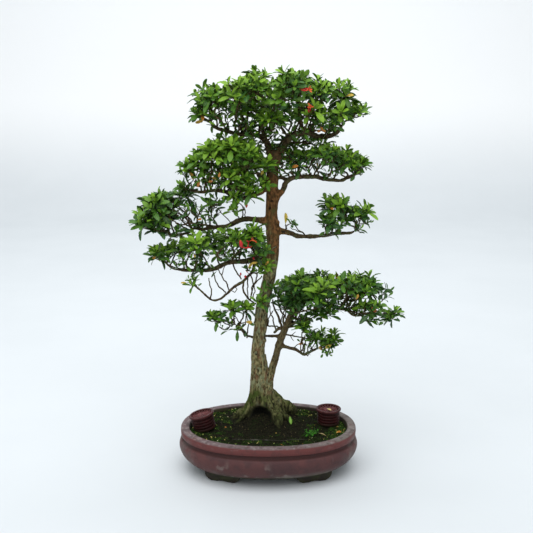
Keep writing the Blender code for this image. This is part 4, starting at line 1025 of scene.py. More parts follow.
tips_of = {pad: pad_tips(pad) for pad in PADS}
twig_chains = [chain for pad, row in PADS.items() for chain in twigs_to(row[0], tips_of[pad])]
for start, end, points in STRAY_TWIGS:
    last = len(points) - 1
    rows = smooth_rows([(*p, start + (end - start) * i / last) for i, p in enumerate(points)], 4)
    for row in rows[1:-1]:
        row[:3] += spread(0.8)
    twig_chains.append([(*row, 0.0) for row in rows])
stands_for(stems("twigs", twig_chains, 6, limb_bark, 0.0008), "wood", "wood")


# The soil is a dark granular mix, mounded to the flare, with moss creeping over it from the rim inwards.
# It fills the pot to just under the rim.
SOIL_RINGS = 58
SOIL_BASE = [(18, 42.5), (21, 30.5), (30, 19), (45, 17.5), (59.5, 17.5)]


def moss_share(x, y):
    """How mossy the ground is, from 0 to 1: green near the rim and at both sides, bare in the middle front."""
    rim = (abs(x) / 125) ** 3 + (abs(y) / 84) ** 3
    bare = math.exp(-(((x - 5) / 58) ** 2 + ((y + 14) / 40) ** 2))
    drift = noise.fractal(Vector((x * 0.05, y * 0.05, 3.0)), 0.7, 2.0, 4)
    return min(1.0, max(0.0, 0.42 + 0.75 * rim - 0.6 * bare + 0.75 * drift))


def ground(x, y):
    """The height of the finished soil: the mound with its crumbs, low cushions of moss and a dip along the rim."""
    crumbs = noise.fractal(Vector((x * 0.16, y * 0.16, 9.0)), 0.8, 2.0, 4)
    rim = min(1.0, (abs(x) / 125) ** 4 + (abs(y) / 83) ** 4)
    return mound(x, y) + 0.9 * crumbs + 1.5 * moss_share(x, y) - 1.3 * rim ** 3 - 0.6


soil_top = [oval(17.5, ground, 1 - i / SOIL_RINGS) for i in range(SOIL_RINGS)]
soil = solid("soil_and_moss", *skin([oval(inset, z) for z, inset in SOIL_BASE] + soil_top))
carry(soil.data, "moss", [moss_share(v.co.x / MM, v.co.y / MM) for v in soil.data.vertices])

loam = Finish("dark_soil", 0.95, 0.1)
green = loam.mix(loam.speckle(300, 0.35, 0.65, 6), (0.01, 0.022, 0.005), (0.04, 0.085, 0.013))
loam.base(loam.speckle(420, 0.35, 0.65, 6), (0.005, 0.005, 0.003), (0.022, 0.02, 0.01))
loam.coat("creeping moss", green, loam.between(loam.carried("moss"), 0.35, 0.75), loam.speckle(110, 0.42, 0.58, 6))
soil.data.materials.append(loam.done(loam.speckle(800, 0.2, 0.8, 8), 1.5))
stands_for(soil, "soil", "soil")


# Loose crumbs of the mix, tufts of moss and a litter of husks, chips and old petals lie all over the soil.
# They are scattered over its top, but not where the wood or a basket stands.
BASKET_PLACES, BASKET_CLEAR = ((-102.5, -5), (98.5, 17)), 18


def wood_stands(x, y):
    """Whether the wood covers the ground there."""
    spot = np.round((np.array((x, y, ground(x, y))) - FIELD_LOW) / CELL).astype(int)
    return bool(np.all(spot >= 0) and np.all(spot < field_shape) and wood_field[tuple(spot)] < 0)


bed = solid("bed", *skin([oval(18.5, ground, 1 - i / SOIL_RINGS) for i in range(SOIL_RINGS)]))
work = bmesh.new()
work.from_mesh(bed.data)
bmesh.ops.delete(work, geom=[face for face in work.faces if len(face.verts) > 4], context="FACES_ONLY")
work.to_mesh(bed.data)
work.free()
crumb_shares, tuft_shares = [], []
for vertex in bed.data.vertices:
    x, y = vertex.co.x / MM, vertex.co.y / MM
    covered = wood_stands(x, y) or any(math.hypot(x - a, y - b) < BASKET_CLEAR for a, b in BASKET_PLACES)
    crumb_shares.append(0.0 if covered else 1.15 - 0.75 * moss_share(x, y))
    tuft_shares.append(0.0 if covered else max(0.0, moss_share(x, y) - 0.3) ** 1.3)
carry(bed.data, "crumbs", crumb_shares)
carry(bed.data, "tufts", tuft_shares)


def chance(tree, kind, low, high, seed):
    """A random value for each point or leaf."""
    return put(tree, "FunctionNodeRandomValue", {"data_type": kind}, Min=low, Max=high, Seed=seed)


def stored(tree, geometry, title, value):
    """Keeps a value on each point under a title, for the finish to read."""
    return put(tree, "GeometryNodeStoreNamedAttribute", {"data_type": "FLOAT", "domain": "POINT"},
               Geometry=geometry, Name=title, Value=value)


def copied(tree, points, shapes, pick, **place):
    """Copies one shape out of the collection to each point."""
    kinds = put(tree, "GeometryNodeCollectionInfo", Collection=shapes, Separate_Children=True, Reset_Children=True)
    return put(tree, "GeometryNodeInstanceOnPoints", Points=points, Instance=kinds, Pick_Instance=True,
               Instance_Index=pick, **place)


scatter, entry = node_tree("scatter", ("Pieces", "Collection"), ("Share", "String"), ("Density", "Float"),
                           ("Smallest", "Float"), ("Largest", "Float"), ("Upright", "Float"), ("Seed", "Int"),
                           ("Finish", "Material"))
share = put(scatter, "GeometryNodeInputNamedAttribute", {"data_type": "FLOAT"}, Name=entry["Share"])
spots = put(scatter, "GeometryNodeDistributePointsOnFaces", Mesh=entry["Geometry"], Seed=entry["Seed"],
            Density=reckon(scatter, "MULTIPLY", share, entry["Density"]))
any_turn = chance(scatter, "FLOAT_VECTOR", (0, 0, 0), (6.28, 6.28, 6.28), 1)
flat_turn = reckon(scatter, "MULTIPLY", any_turn, (0.06, 0.06, 1.0), kind="ShaderNodeVectorMath")
turn = put(scatter, "ShaderNodeMix", {"data_type": "VECTOR"}, Factor=entry["Upright"], A=any_turn, B=flat_turn)
scale = chance(scatter, "FLOAT", entry["Smallest"], entry["Largest"], 2)
spots = stored(scatter, spots, "hue", chance(scatter, "FLOAT", 0.0, 1.0, 3))
placed = copied(scatter, spots, entry["Pieces"], chance(scatter, "INT", 0, 50, 4), Rotation=turn, Scale=scale)
ends_in(scatter, placed, entry["Finish"])


def kit(name, pieces):
    """A collection of small shapes that a tree copies; they stay out of the scene."""
    group = bpy.data.collections.new(name)
    for piece in pieces:
        bpy.context.scene.collection.objects.unlink(piece)
        group.objects.link(piece)
    return group


def put_away(group):
    """Removes the shapes of a kit once they have been copied."""
    for piece in list(group.objects):
        bpy.data.objects.remove(piece)
    bpy.data.collections.remove(group)


def strewn(name, shapes, share, density, smallest, largest, upright, seed, material):
    """Scatters the shapes over the bed, as thickly as the share that its points carry."""
    pieces = kit(name + "_kit", shapes)
    piece = made_by(scatter, add("bed_copy", bed.data.copy()), name, Pieces=pieces, Share=share, Density=density,
                    Smallest=smallest, Largest=largest, Upright=upright, Seed=seed, Finish=material)
    put_away(pieces)
    stands_for(piece, "soil", "soil")


def pebble(name, seed, reach=(1.0, 0.85, 0.7), level=1, rough=0.25):
    """A broken crumb about two millimetres across at full size."""
    work = bmesh.new()
    bmesh.ops.create_icosphere(work, subdivisions=level, radius=1.0)
    for vertex in work.verts:
        far = 1 + rough * noise.noise(vertex.co * 1.7 + Vector((seed * 9.1, 0, 0)))
        vertex.co = Vector([vertex.co[i] * reach[i] * far for i in range(3)])
    points = [tuple(v.co) for v in work.verts]
    shape = solid(name, points, [tuple(v.index for v in f.verts) for f in work.faces], False)
    work.free()
    return shape


def moss_tuft(name, seed):
    """A tuft of moss: short three-sided blades leaning out from one foot."""
    random.seed(seed)
    points, faces = [], []
    for k in range(6):
        turn = 2 * math.pi * (k + random.uniform(-0.2, 0.2)) / 6
        lean = random.uniform(0.35, 1.0) if k else 0.0
        out = Vector((math.cos(turn) * lean, math.sin(turn) * lean, 1)).normalized()
        foot = Vector((math.cos(turn), math.sin(turn), 0)) * 0.25 * lean
        side = out.orthogonal().normalized() * 0.2
        other = out.cross(side)
        base = len(points)
        for j in range(3):
            angle = 2 * math.pi * j / 3
            points.append(foot + side * math.cos(angle) + other * math.sin(angle) - Vector((0, 0, 0.3)))
        points.append(foot + out * random.uniform(1.1, 1.7))
        faces += [(base, base + 1, base + 3), (base + 1, base + 2, base + 3), (base + 2, base, base + 3),
                  (base, base + 2, base + 1)]
    return solid(name, points, faces, False)


crumb = Finish("crumb_brown", 0.95, 0.1)
hue = crumb.carried("hue")
crumb.base(crumb.between(hue, 0.2, 0.9), (0.005, 0.005, 0.003), (0.026, 0.023, 0.011))
crumb.coat("pale grit", (0.12, 0.1, 0.05), crumb.between(hue, 0.955, 0.96))
crumb.coat("algae", (0.014, 0.032, 0.006), crumb.speckle(60, 0.46, 0.58), 0.7)
crumb_brown = crumb.done(crumb.speckle(1500, 0.2, 0.8), 0.4)
crumbs = [pebble("crumb_%d" % k, k) for k in range(4)]
strewn("loose_crumbs", crumbs, "crumbs", 170000.0, 0.35, 1.15, 0.0, 3, crumb_brown)

moss = Finish("moss_green", 0.85, 0.15)
hue = moss.carried("hue")
moss.base(hue, (0.01, 0.03, 0.005), (0.07, 0.19, 0.022))
moss.coat("yellow tips", (0.28, 0.36, 0.05), moss.between(hue, 0.82, 1.0))
moss.coat("brown patches", (0.022, 0.028, 0.008), moss.speckle(45, 0.42, 0.62))
moss_green = moss.done(moss.speckle(1500, 0.2, 0.8), 0.3)
tufts = [moss_tuft("tuft_%d" % k, 40 + k) for k in range(4)]
strewn("moss_tufts", tufts, "tufts", 380000.0, 0.8, 1.7, 1.0, 8, moss_green)

dry = Finish("litter_dry", 0.8, 0.3)
hue = dry.carried("hue")
dry.base(dry.between(hue, 0.0, 0.35), (0.85, 0.8, 0.55), (0.8, 0.68, 0.2))
dry.coat("green husks", (0.42, 0.52, 0.13), dry.between(hue, 0.35, 0.7))
dry.coat("orange petals", (0.7, 0.28, 0.05), dry.between(hue, 0.8, 0.95))
litter_dry = dry.done(dry.speckle(1200, 0.2, 0.8), 0.3)
chips = [pebble("chip_%d" % k, 20 + k, (1.1, 0.5, 0.28)) for k in range(3)]
strewn("litter", chips, "tufts", 24000.0, 0.5, 2.3, 0.85, 14, litter_dry)
bpy.data.objects.remove(bed)


# A thin drawn wire lies across the front of the soil, its ends pushed down into it, and holds the root ball.
# It is soft drawn metal that has gone dull, pulled tight by hand over the crumbs.
WIRE = [(-56, -47), (-40, -50), (-24, -51), (-8, -52), (8, -52), (24, -52), (42, -51), (60, -48)]
WIRE_RADIUS = 0.45
WIRE_END_OUT, WIRE_END_DOWN = 2, 4
wire_line = smooth_rows([(x, y, 0, WIRE_RADIUS) for x, y in WIRE], 3)
heights = [ground(x, y) for x, y, _, _ in wire_line]
wire_rows = []
for i, (x, y, _, radius) in enumerate(wire_line):
    near = heights[max(0, i - 3):i + 4]
    lies = max(near) * 0.5 + sum(near) / len(near) * 0.5 + 1.0
    wire_rows.append((x, y + 0.5 * math.sin(i * 0.5), lies, radius, 0.0))
wire_ends = [(x + out * WIRE_END_OUT, y, z - WIRE_END_DOWN, WIRE_RADIUS, 0.0)
             for (x, y, z, _, _), out in ((wire_rows[0], -1), (wire_rows[-1], 1))]
wire_rows = wire_ends[:1] + wire_rows + wire_ends[1:]
dull = Finish("dull_wire", 0.45)
dull.shader.inputs["Metallic"].default_value = 0.8
dull.base(dull.speckle(90, 0.35, 0.5), (0.2, 0.19, 0.17), (0.05, 0.045, 0.035))
dull_wire = dull.done(dull.speckle(900, 0.3, 0.7), 0.2)
stands_for(stems("root_wire", [wire_rows], 10, dull_wire), "tie_wire", "tie_wire")


# Two plastic baskets of fertiliser are pushed into the soil by three prongs each; the left one leans.
# Each is a tapered cup of hoops and struts under a flange, with a sunken lid of fine spokes around a hub.
BASKETS = {"left": ((-102.5, -5, 65.0), -13.0), "right": ((98.5, 17, 65.0), 0.0)}
BASKET_RADIUS, BASKET_HEIGHT, BASKET_FLANGE = 18.0, 26.0, 20.5
BASKET_INSIDE = 16.8
FLANGE_TALL = 3.2
HOOP_FEET, HOOP_TALL, HOOP_DEEP = (0.0, 4.9, 9.6, 14.3, 19.0), 4.1, 1.5
LID_TOP, LID_RINGS = 24.4, (8.4, 13.2)
SPOKES, SPOKE_HALF_WIDTH = 20, 0.42
STRUTS, STRUT_HALF_WIDTH = 18, 1.1
# Rings of pellets from the bottom up: height, how many, and how far out.
PELLETS = ((4.6, 12, 12.2), (8.2, 12, 12.0), (11.8, 12, 11.8), (14.6, 10, 11.5),
           (6.0, 5, 5.0), (10, 5, 5.0), (13.5, 5, 5.0), (15.5, 4, 5.0))

around, entry = node_tree("around", ("Count", "Int"), ("Finish", "Material"))
part_turn = reckon(around, "DIVIDE", put(around, "GeometryNodeInputIndex"), entry["Count"])
full_turn = put(around, "ShaderNodeCombineXYZ", Z=reckon(around, "MULTIPLY", part_turn, 2 * math.pi))
spun = put(around, "GeometryNodeInstanceOnPoints", Points=put(around, "GeometryNodePoints", Count=entry["Count"]),
           Instance=entry["Geometry"], Rotation=full_turn)
ends_in(around, spun, entry["Finish"])


def hoop(name, profile, sides=72):
    """A closed ring turned from a profile of radius and height."""
    points = [(r * math.cos(2 * math.pi * j / sides), r * math.sin(2 * math.pi * j / sides), z)
              for j in range(sides) for r, z in profile]
    count = len(profile)
    faces = [(j * count + i, j * count + (i + 1) % count, (j + 1) % sides * count + (i + 1) % count,
              (j + 1) % sides * count + i) for j in range(sides) for i in range(count)]
    return solid(name, points, faces)


def bar(name, low, high, ease):
    """A straight bar between two corners with eased edges."""
    ring = [(low[0], low[1]), (high[0], low[1]), (high[0], high[1]), (low[0], high[1])]
    piece = solid(name, *skin([[(x, y, z) for x, y in ring] for z in (low[2], high[2])]))
    eased = piece.modifiers.new("eased", "BEVEL")
    eased.width = ease * MM
    eased.segments = 1
    return settled(piece)


def eased_band(inner, outer, low, high, ease=0.5):
    """The section of a hoop with its corners taken off and its outside a little crowned."""
    return [(inner, low + ease), (inner + ease, low), (outer - ease, low), (outer, low + ease),
            (outer + 0.15, (low + high) / 2), (outer, high - ease), (outer - ease, high), (inner + ease, high),
            (inner, high - ease)]


def dusty_and_lit(piece, share=0.0):
    """Marks how much dust a part of a basket has gathered, and how much painted highlight it carries."""
    carry(piece.data, "dust_and_highlight", [share] * len(piece.data.vertices))
    return piece


maroon = Finish("maroon_plastic", 0.45, 0.14)
maroon.base(maroon.speckle(90, 0.35, 0.7), (0.036, 0.006, 0.006), (0.017, 0.004, 0.004))
# Dust and painted highlight: the lid's spokes, hub, rings and flange are painted lighter pink. This is partly dust
# and partly a painted highlight on the top of the lid.
maroon.coat("dust_and_highlight", (0.25, 0.085, 0.085), maroon.carried("dust_and_highlight"), maroon.speckle(160, 0.15, 0.6))
maroon.coat("dried splashes", (0.09, 0.05, 0.04), maroon.speckle(320, 0.6, 0.72, 6), 0.4)
# Each basket goes darker towards its bottom, where it sits on the soil.
maroon.coat("darker towards the bottom", (0.02, 0.014, 0.008), maroon.up(72, 64))
maroon_plastic = maroon.done(maroon.speckle(500, 0.2, 0.8), 0.3, 0.6)

# The pellets are painted darker than their own brown: painted shade for the dark under the lid, between its
# spokes.
meal = Finish("pellet_brown_and_shade", 0.9, 0.25)
meal.base(meal.speckle(260, 0.35, 0.65, 6), (0.009, 0.006, 0.005), (0.035, 0.024, 0.016))
meal.coat("pale mould", (0.16, 0.14, 0.11), meal.speckle(120, 0.56, 0.64), 0.3)
pellet_brown_and_shade = meal.done(meal.speckle(900, 0.2, 0.8, 6), 1.0)

for side, (place, tilt) in BASKETS.items():
    top = eased_band(BASKET_INSIDE, BASKET_FLANGE - 0.15, BASKET_HEIGHT - FLANGE_TALL, BASKET_HEIGHT, 0.6)
    floor = [(0.5, 0.0), (BASKET_INSIDE, 0.0), (17.2, 0.4), (17.2, 1.1), (BASKET_INSIDE, 1.5), (0.5, 1.5)]
    parts = [dusty_and_lit(hoop("flange", top), 0.2), dusty_and_lit(hoop("floor", floor))]
    for foot in HOOP_FEET:
        wide = BASKET_RADIUS + 0.4 * foot / BASKET_HEIGHT
        parts.append(dusty_and_lit(hoop("hoop", eased_band(wide - HOOP_DEEP, wide, foot, foot + HOOP_TALL))))
    for radius in LID_RINGS:
        section = eased_band(radius - 0.35, radius + 0.35, LID_TOP - 0.9, LID_TOP - 0.1, 0.2)
        parts.append(dusty_and_lit(hoop("lid_ring", section), 0.3))
    hub = [(0.4, LID_TOP - 1.8), (3.6, LID_TOP - 1.8), (4.0, LID_TOP - 0.4), (3.4, LID_TOP + 0.2),
           (0.4, LID_TOP + 0.2)]
    spoke = bar("spoke", (3.2, -SPOKE_HALF_WIDTH, LID_TOP - 0.8), (17.4, SPOKE_HALF_WIDTH, LID_TOP), 0.15)
    strut = bar("strut", (15.9, -STRUT_HALF_WIDTH, 0.6), (17.0, STRUT_HALF_WIDTH, 23.2), 0.3)
    parts += [dusty_and_lit(hoop("hub", hub, 32), 0.4),
              made_by(around, dusty_and_lit(spoke, 1.0), "spokes", Count=SPOKES, Finish=maroon_plastic),
              made_by(around, dusty_and_lit(strut), "struts", Count=STRUTS, Finish=maroon_plastic)]
    prongs = []
    for k in range(3):
        turn = 2 * math.pi * (k + 0.4) / 3
        x, y = (BASKET_RADIUS - 3) * math.cos(turn), (BASKET_RADIUS - 3) * math.sin(turn)
        prongs.append([(x, y, 1, 1.6, 0), (x, y, -6, 1.3, 0), (x, y, -12, 0.9, 0)])
    parts.append(stems("prongs", prongs, 8, maroon_plastic))
    move = Matrix.Translation(Vector(place) * MM) @ Matrix.Rotation(math.radians(tilt), 4, "Y")
    basket = joined(parts, "slotted_basket_" + side, maroon_plastic)
    basket.data.transform(move)
    stands_for(basket, "basket_" + side, "basket_" + side)

    random.seed(60 + len(side))
    pellets = []
    for layer, (z, count, far) in enumerate(PELLETS):
        for k in range(count):
            turn = 2 * math.pi * (k + 0.5 * (layer % 2) + random.uniform(-0.2, 0.2)) / count
            out = far + random.uniform(-1, 0.8)
            pellet = pebble("pellet", layer * 20 + k, [random.uniform(2.4, 3.4) for _ in range(3)], 2, 0.35)
            spot = Vector((out * math.cos(turn), out * math.sin(turn), z + random.uniform(-0.6, 0.6)))
            pellet.data.transform(Matrix.Translation(spot * MM))
            pellets.append(pellet)
    feed = joined(pellets, "feed_pellets_" + side, pellet_brown_and_shade)
    feed.data.transform(move)
    stands_for(feed, "fertiliser_" + side, "fertiliser_" + side)


# The leaves are oval and leathery, widest past the middle, folded along a pale midrib and glossy above.
# They stand in whorls at the twig ends: old ones low and spreading, young ones bright and upright in the middle.
LEAF_LONG, LEAF_WIDE = 20.5, 7.6
# How far along each row of a blade is, and how wide it is there.
LEAF_ROWS = [(0.12, 0.16), (0.38, 0.72), (0.66, 1.0), (0.9, 0.66)]
# The degrees that the lowest and the highest leaf of a whorl lift, and how many millimetres apart they start.
LEAF_LIFTS, LEAF_STAGGER = (12, 66), 5.0
SMALLEST_LEAF = 0.62
TURNED_SHARE = 0.003


def leaf_blade(name, long, wide, bend, fold, rows, thick=0.4):
    """A leaf along +X, upper face up: closed, sharp round its outline, bent along it and folded at the midrib."""
    def height(t):
        return long * (0.06 * math.sin(math.pi * t) - bend * t * t)
    points = [(0, 0, 0), (long, 0, height(1.0))]
    for t, share in rows:
        side, lift = wide / 2 * share, fold * wide / 2 * share
        points += [(t * long, side, height(t) + lift), (t * long, -side, height(t) + lift),
                   (t * long, 0, height(t) + thick / 2), (t * long, 0, height(t) - thick / 2)]
    faces, under = [], []
    for middle, flag in ((2, 0.0), (3, 1.0)):
        chain = [0] + [2 + 4 * i + middle for i in range(len(rows))] + [1]
        for edge in (0, 1):
            rim = [0] + [2 + 4 * i + edge for i in range(len(rows))] + [1]
            for i in range(len(chain) - 1):
                corners = []
                for corner in (chain[i], chain[i + 1], rim[i + 1], rim[i]):
                    if corner not in corners:
                        corners.append(corner)
                if len(corners) > 2:
                    faces.append(tuple(corners))
                    under.append(flag)
    leaf = solid(name, points, faces)
    mesh = leaf.data
    for item, flag in zip(mesh.attributes.new("under", "FLOAT", "FACE").data, under):
        item.value = flag
    layer = mesh.uv_layers.new(name="blade")
    for loop in mesh.loops:
        x, y, _ = (c / MM for c in mesh.vertices[loop.vertex_index].co)
        layer.data[loop.index].uv = (0.5 + y / wide, x / long)
    sides = {}
    for face in mesh.polygons:
        for key in face.edge_keys:
            sides.setdefault(key, set()).add(under[face.index])
    for edge in mesh.edges:
        edge.use_edge_sharp = len(sides[tuple(sorted(edge.vertices))]) == 2
    return leaf


whorl, entry = node_tree("whorl", ("Blades", "Collection"), ("Lowest", "Float"), ("Highest", "Float"),
                         ("Stagger", "Float"), ("Turning", "Float"), ("Seed", "Int"), ("Finish", "Material"))


def read(title, kind="FLOAT"):
    """A named attribute of the whorls."""
    return put(whorl, "GeometryNodeInputNamedAttribute", {"data_type": kind}, Name=title).outputs[0]


def draw(low, high, extra):
    """A random number for each leaf; extra keeps the draws apart."""
    return chance(whorl, "FLOAT", low, high, reckon(whorl, "ADD", entry["Seed"], float(extra)))


def sums(operation, *values):
    """One step of arithmetic in the whorl."""
    return reckon(whorl, operation, *values)


leaves = put(whorl, "GeometryNodeDuplicateElements", {"domain": "POINT"}, Geometry=entry["Geometry"],
             Amount=read("count", "INT"))
index = leaves.outputs["Duplicate Index"]
order = sums("DIVIDE", index, sums("MAXIMUM", sums("SUBTRACT", read("count", "INT"), 1.0), 1.0))
azimuth = sums("MULTIPLY_ADD", index, GOLDEN_TURN, sums("ADD", read("spin"), draw(-0.2, 0.2, 1)))
rise = put(whorl, "ShaderNodeMapRange", Value=order, To_Min=entry["Lowest"], To_Max=entry["Highest"])
lift = sums("MULTIPLY", sums("ADD", rise, draw(-0.2, 0.2, 2)), -1.0)
upright = put(whorl, "FunctionNodeAlignRotationToVector", {"axis": "Z"}, Vector=read("aim", "FLOAT_VECTOR"))
local = put(whorl, "ShaderNodeCombineXYZ", X=draw(-0.3, 0.3, 3), Y=lift, Z=azimuth)
local = put(whorl, "FunctionNodeEulerToRotation", Euler=local)
turned = put(whorl, "FunctionNodeRotateRotation", {"rotation_space": "LOCAL"}, Rotation=upright, Rotate_By=local)
small = put(whorl, "ShaderNodeMapRange", Value=order, To_Min=1.0, To_Max=SMALLEST_LEAF)
size = sums("MULTIPLY", sums("MULTIPLY", read("size"), small), draw(0.82, 1.1, 4))
drop = sums("MULTIPLY", sums("SUBTRACT", 1.0, order), sums("MULTIPLY", entry["Stagger"], -1.0))
back = put(whorl, "ShaderNodeVectorMath", {"operation": "SCALE"}, Vector=read("aim", "FLOAT_VECTOR"), Scale=drop)
gone = sums("GREATER_THAN", sums("ADD", read("turning"), entry["Turning"]), draw(0.0, 1.0, 5))
young = sums("MULTIPLY", sums("POWER", order, 2.0), 0.5)
# Each leaf's tone carries the painted light and shade of its whorl, with a random spread and young leaves
# brighter.
tone = sums("ADD", sums("ADD", read("tone"), draw(-0.14, 0.14, 6)), young)
stage = put(whorl, "GeometryNodeSetPosition", Geometry=leaves.outputs[0], Offset=back)
stage = stored(whorl, stage, "tone_of_leaf", tone)
stage = stored(whorl, stage, "gone", gone)
stage = stored(whorl, stage, "redness", sums("ADD", read("red"), draw(0.0, 0.15, 7)))
placed = copied(whorl, stage, entry["Blades"], chance(whorl, "INT", 0, 99, 8), Rotation=turned, Scale=size)
ends_in(whorl, placed, entry["Finish"])


def foliage(name, tips, blades, lifts, stagger, seed, material, turning=0.0):
    """Leaves or petals on every tip. The tips become bare points that carry what their whorls need."""
    mesh = bpy.data.meshes.new(name)
    mesh.from_pydata([tuple(c * MM for c in tip[0]) for tip in tips], [], [])
    aims = mesh.attributes.new("aim", "FLOAT_VECTOR", "POINT")
    aims.data.foreach_set("vector", [c for tip in tips for c in tip[1]])
    mesh.attributes.new("count", "INT", "POINT").data.foreach_set("value", [tip[3] for tip in tips])
    carry(mesh, "tone", [tip[2] for tip in tips])
    carry(mesh, "size", [tip[4] for tip in tips])
    carry(mesh, "spin", [random.uniform(0, 6.28) for _ in tips])
    carry(mesh, "turning", [1.0 if len(tip) > 5 else 0.0 for tip in tips])
    carry(mesh, "red", [tip[5] if len(tip) > 5 else random.uniform(0, 0.6) for tip in tips])
    return made_by(whorl, add(name + "_tips", mesh), name, Blades=blades, Lowest=math.radians(lifts[0]),
                   Highest=math.radians(lifts[1]), Stagger=stagger * MM, Turning=turning, Seed=seed,
                   Finish=material)


def blade_spots(finish):
    """Where a point lies on its blade, across and along, and how far off the midrib."""
    spots = put(finish.tree, "ShaderNodeUVMap", {"uv_map": "blade"})
    blade = put(finish.tree, "ShaderNodeSeparateXYZ", Vector=spots)
    return blade, finish.reckon("ABSOLUTE", finish.reckon("SUBTRACT", blade.outputs["X"], 0.5))


leaf = Finish("leaf_green", 0.4, 0.28)
tone, red = leaf.carried("tone_of_leaf"), leaf.carried("redness")
dulled = put(leaf.tree, "ShaderNodeMapRange", Value=tone, To_Min=0.3, To_Max=0.52)
join_up(leaf.tree, leaf.shader.inputs["Roughness"], dulled)
# Painted light and shade: a low tone, which includes painted shade, makes a leaf dark and bluish. A high tone,
# which includes painted light as well as young growth, makes it bright yellow-green.
leaf.base(leaf.between(tone, -0.05, 0.45), (0.012, 0.044, 0.007), (0.064, 0.18, 0.009))
leaf.coat("young leaves and painted light", (0.22, 0.41, 0.025), leaf.between(tone, 0.4, 1.05))
cool = (leaf.between(red, 0.25, 0.62), leaf.between(tone, 0.75, 0.3))
leaf.coat("bluish leaves", (0.03, 0.105, 0.038), *cool, 0.6)
leaf.coat("mottling", (0.036, 0.11, 0.009), leaf.speckle(210, 0.4, 0.65), 0.3)
old = leaf.mix(leaf.between(red, 0.1, 0.5), (0.52, 0.38, 0.06), (0.5, 0.19, 0.03))
old = leaf.over(old, (0.42, 0.05, 0.03), leaf.between(red, 0.6, 1.0))
leaf.coat("turned leaves", old, leaf.carried("gone"))
blade, off_rib = blade_spots(leaf)
rib = leaf.between(off_rib, 0.07, 0.02)
leaf.coat("midrib", (0.28, 0.4, 0.09), rib, 0.3)
leaf.coat("underside", (0.09, 0.165, 0.045), leaf.carried("under"), 0.4)
slant = leaf.reckon("MULTIPLY_ADD", off_rib, -0.55, blade.outputs["Y"])
vein = leaf.reckon("SINE", leaf.reckon("MULTIPLY", slant, 44.0))
quilt = leaf.reckon("MULTIPLY_ADD", vein, 0.25, leaf.reckon("MULTIPLY", rib, -1.0))
leaf_green = leaf.done(quilt, 0.4, 0.5)

blades = kit("blade_kit", [leaf_blade("blade_0", LEAF_LONG, LEAF_WIDE, 0.1, 0.28, LEAF_ROWS),
                           leaf_blade("blade_1", LEAF_LONG * 1.12, LEAF_WIDE * 0.95, 0.2, 0.35, LEAF_ROWS),
                           leaf_blade("blade_2", LEAF_LONG * 0.84, LEAF_WIDE, 0.02, 0.2, LEAF_ROWS)])
random.seed(31)
for number, pad in enumerate(PADS):
    pad_leaves = foliage(pad.replace("_leaves", "") + "_foliage", tips_of[pad], blades, LEAF_LIFTS, LEAF_STAGGER,
                         number * 17, leaf_green, TURNED_SHARE)
    stands_for(pad_leaves, pad, pad)
put_away(blades)


# Two small flowers are opening in the crown: narrow petals on a short stalk, with a bud of the same red beside
# them. At the low left stand a fat bud, a slender one and two curled orange petals, and small buds hang below that
# pad. They are fixed to the twigs by their stalks.
# Where each flower of the crown opens, and where its stalk comes from.
BLOOMS = {"bloom_crown_upper": ((56, -78, 601), (32, -46, 604)),
          "bloom_crown_lower": ((60, -56, 576), (62, -26, 562))}
# Rows of a point, a thickness and how far the red has gone to orange.
LEFT_BLOOM = [
    [(-30, -32, 379, 0.8, 0), (-30, -42, 376, 0.8, 0), (-31, -50, 370.5, 0.9, 0)],
    [(-36, -51, 370, 0.8, 0), (-39, -53, 371, 1.2, 0), (-40.4, -54, 373, 2.4, 0), (-40.8, -54, 376.3, 2.9, 0),
     (-41.5, -54, 379, 2.2, 0), (-42, -54, 381, 1.0, 0.8), (-42.2, -54, 382, 0.3, 0.8)],
    [(-37, -52, 370, 0.6, 0), (-33.5, -51, 369.4, 0.9, 0), (-29, -50, 369.8, 0.9, 0.2),
     (-24.5, -48, 371.4, 0.3, 0.4)],
    [(-30, -42, 376, 0.5, 0), (-27, -46, 379.4, 0.6, 0.5), (-23.8, -50, 381, 1.0, 0.8), (-20, -49, 379.5, 1.0, 1),
     (-17.4, -47, 376, 0.8, 1), (-15.6, -46, 371.8, 0.3, 1)],
    [(-29, -43, 377, 0.5, 0.3), (-31, -49, 379, 1.1, 0.3), (-33, -51, 380.6, 0.3, 0.3)]]
# Where each small bud's stalk starts, where the bud hangs, and its radius.
SMALL_BUDS = [((-29, -8, 321), (-33.2, -13, 325.6), 1.3), ((-45, -11, 318.5), (-42.8, -15, 321), 1.4),
              ((-35, -10.5, 315), (-35.7, -14, 316.6), 1.9), ((-21, -3, 343), (-22.7, -20, 346.5), 1.4)]
PETAL_ROWS = [(0.12, 0.2), (0.36, 0.7), (0.64, 1.0), (0.88, 0.72)]
petal = Finish("petal_red", 0.5, 0.4)
orange = petal.reckon("ADD", petal.carried("tone_of_leaf"), petal.carried("young"))
petal.base(petal.between(orange, 0.2, 0.8), (0.5, 0.018, 0.02), (0.75, 0.12, 0.022))
petal.coat("deeper veins", (0.35, 0.012, 0.014), petal.speckle(300, 0.4, 0.7), 0.4)
petal_red = petal.done(petal.speckle(600, 0.2, 0.8), 0.3, 0.5)
petals = kit("petal_kit", [leaf_blade("petal_0", 8.8, 3.2, -0.12, 0.35, PETAL_ROWS, 0.35),
                           leaf_blade("petal_1", 8.0, 2.8, 0.2, 0.5, PETAL_ROWS, 0.35)])
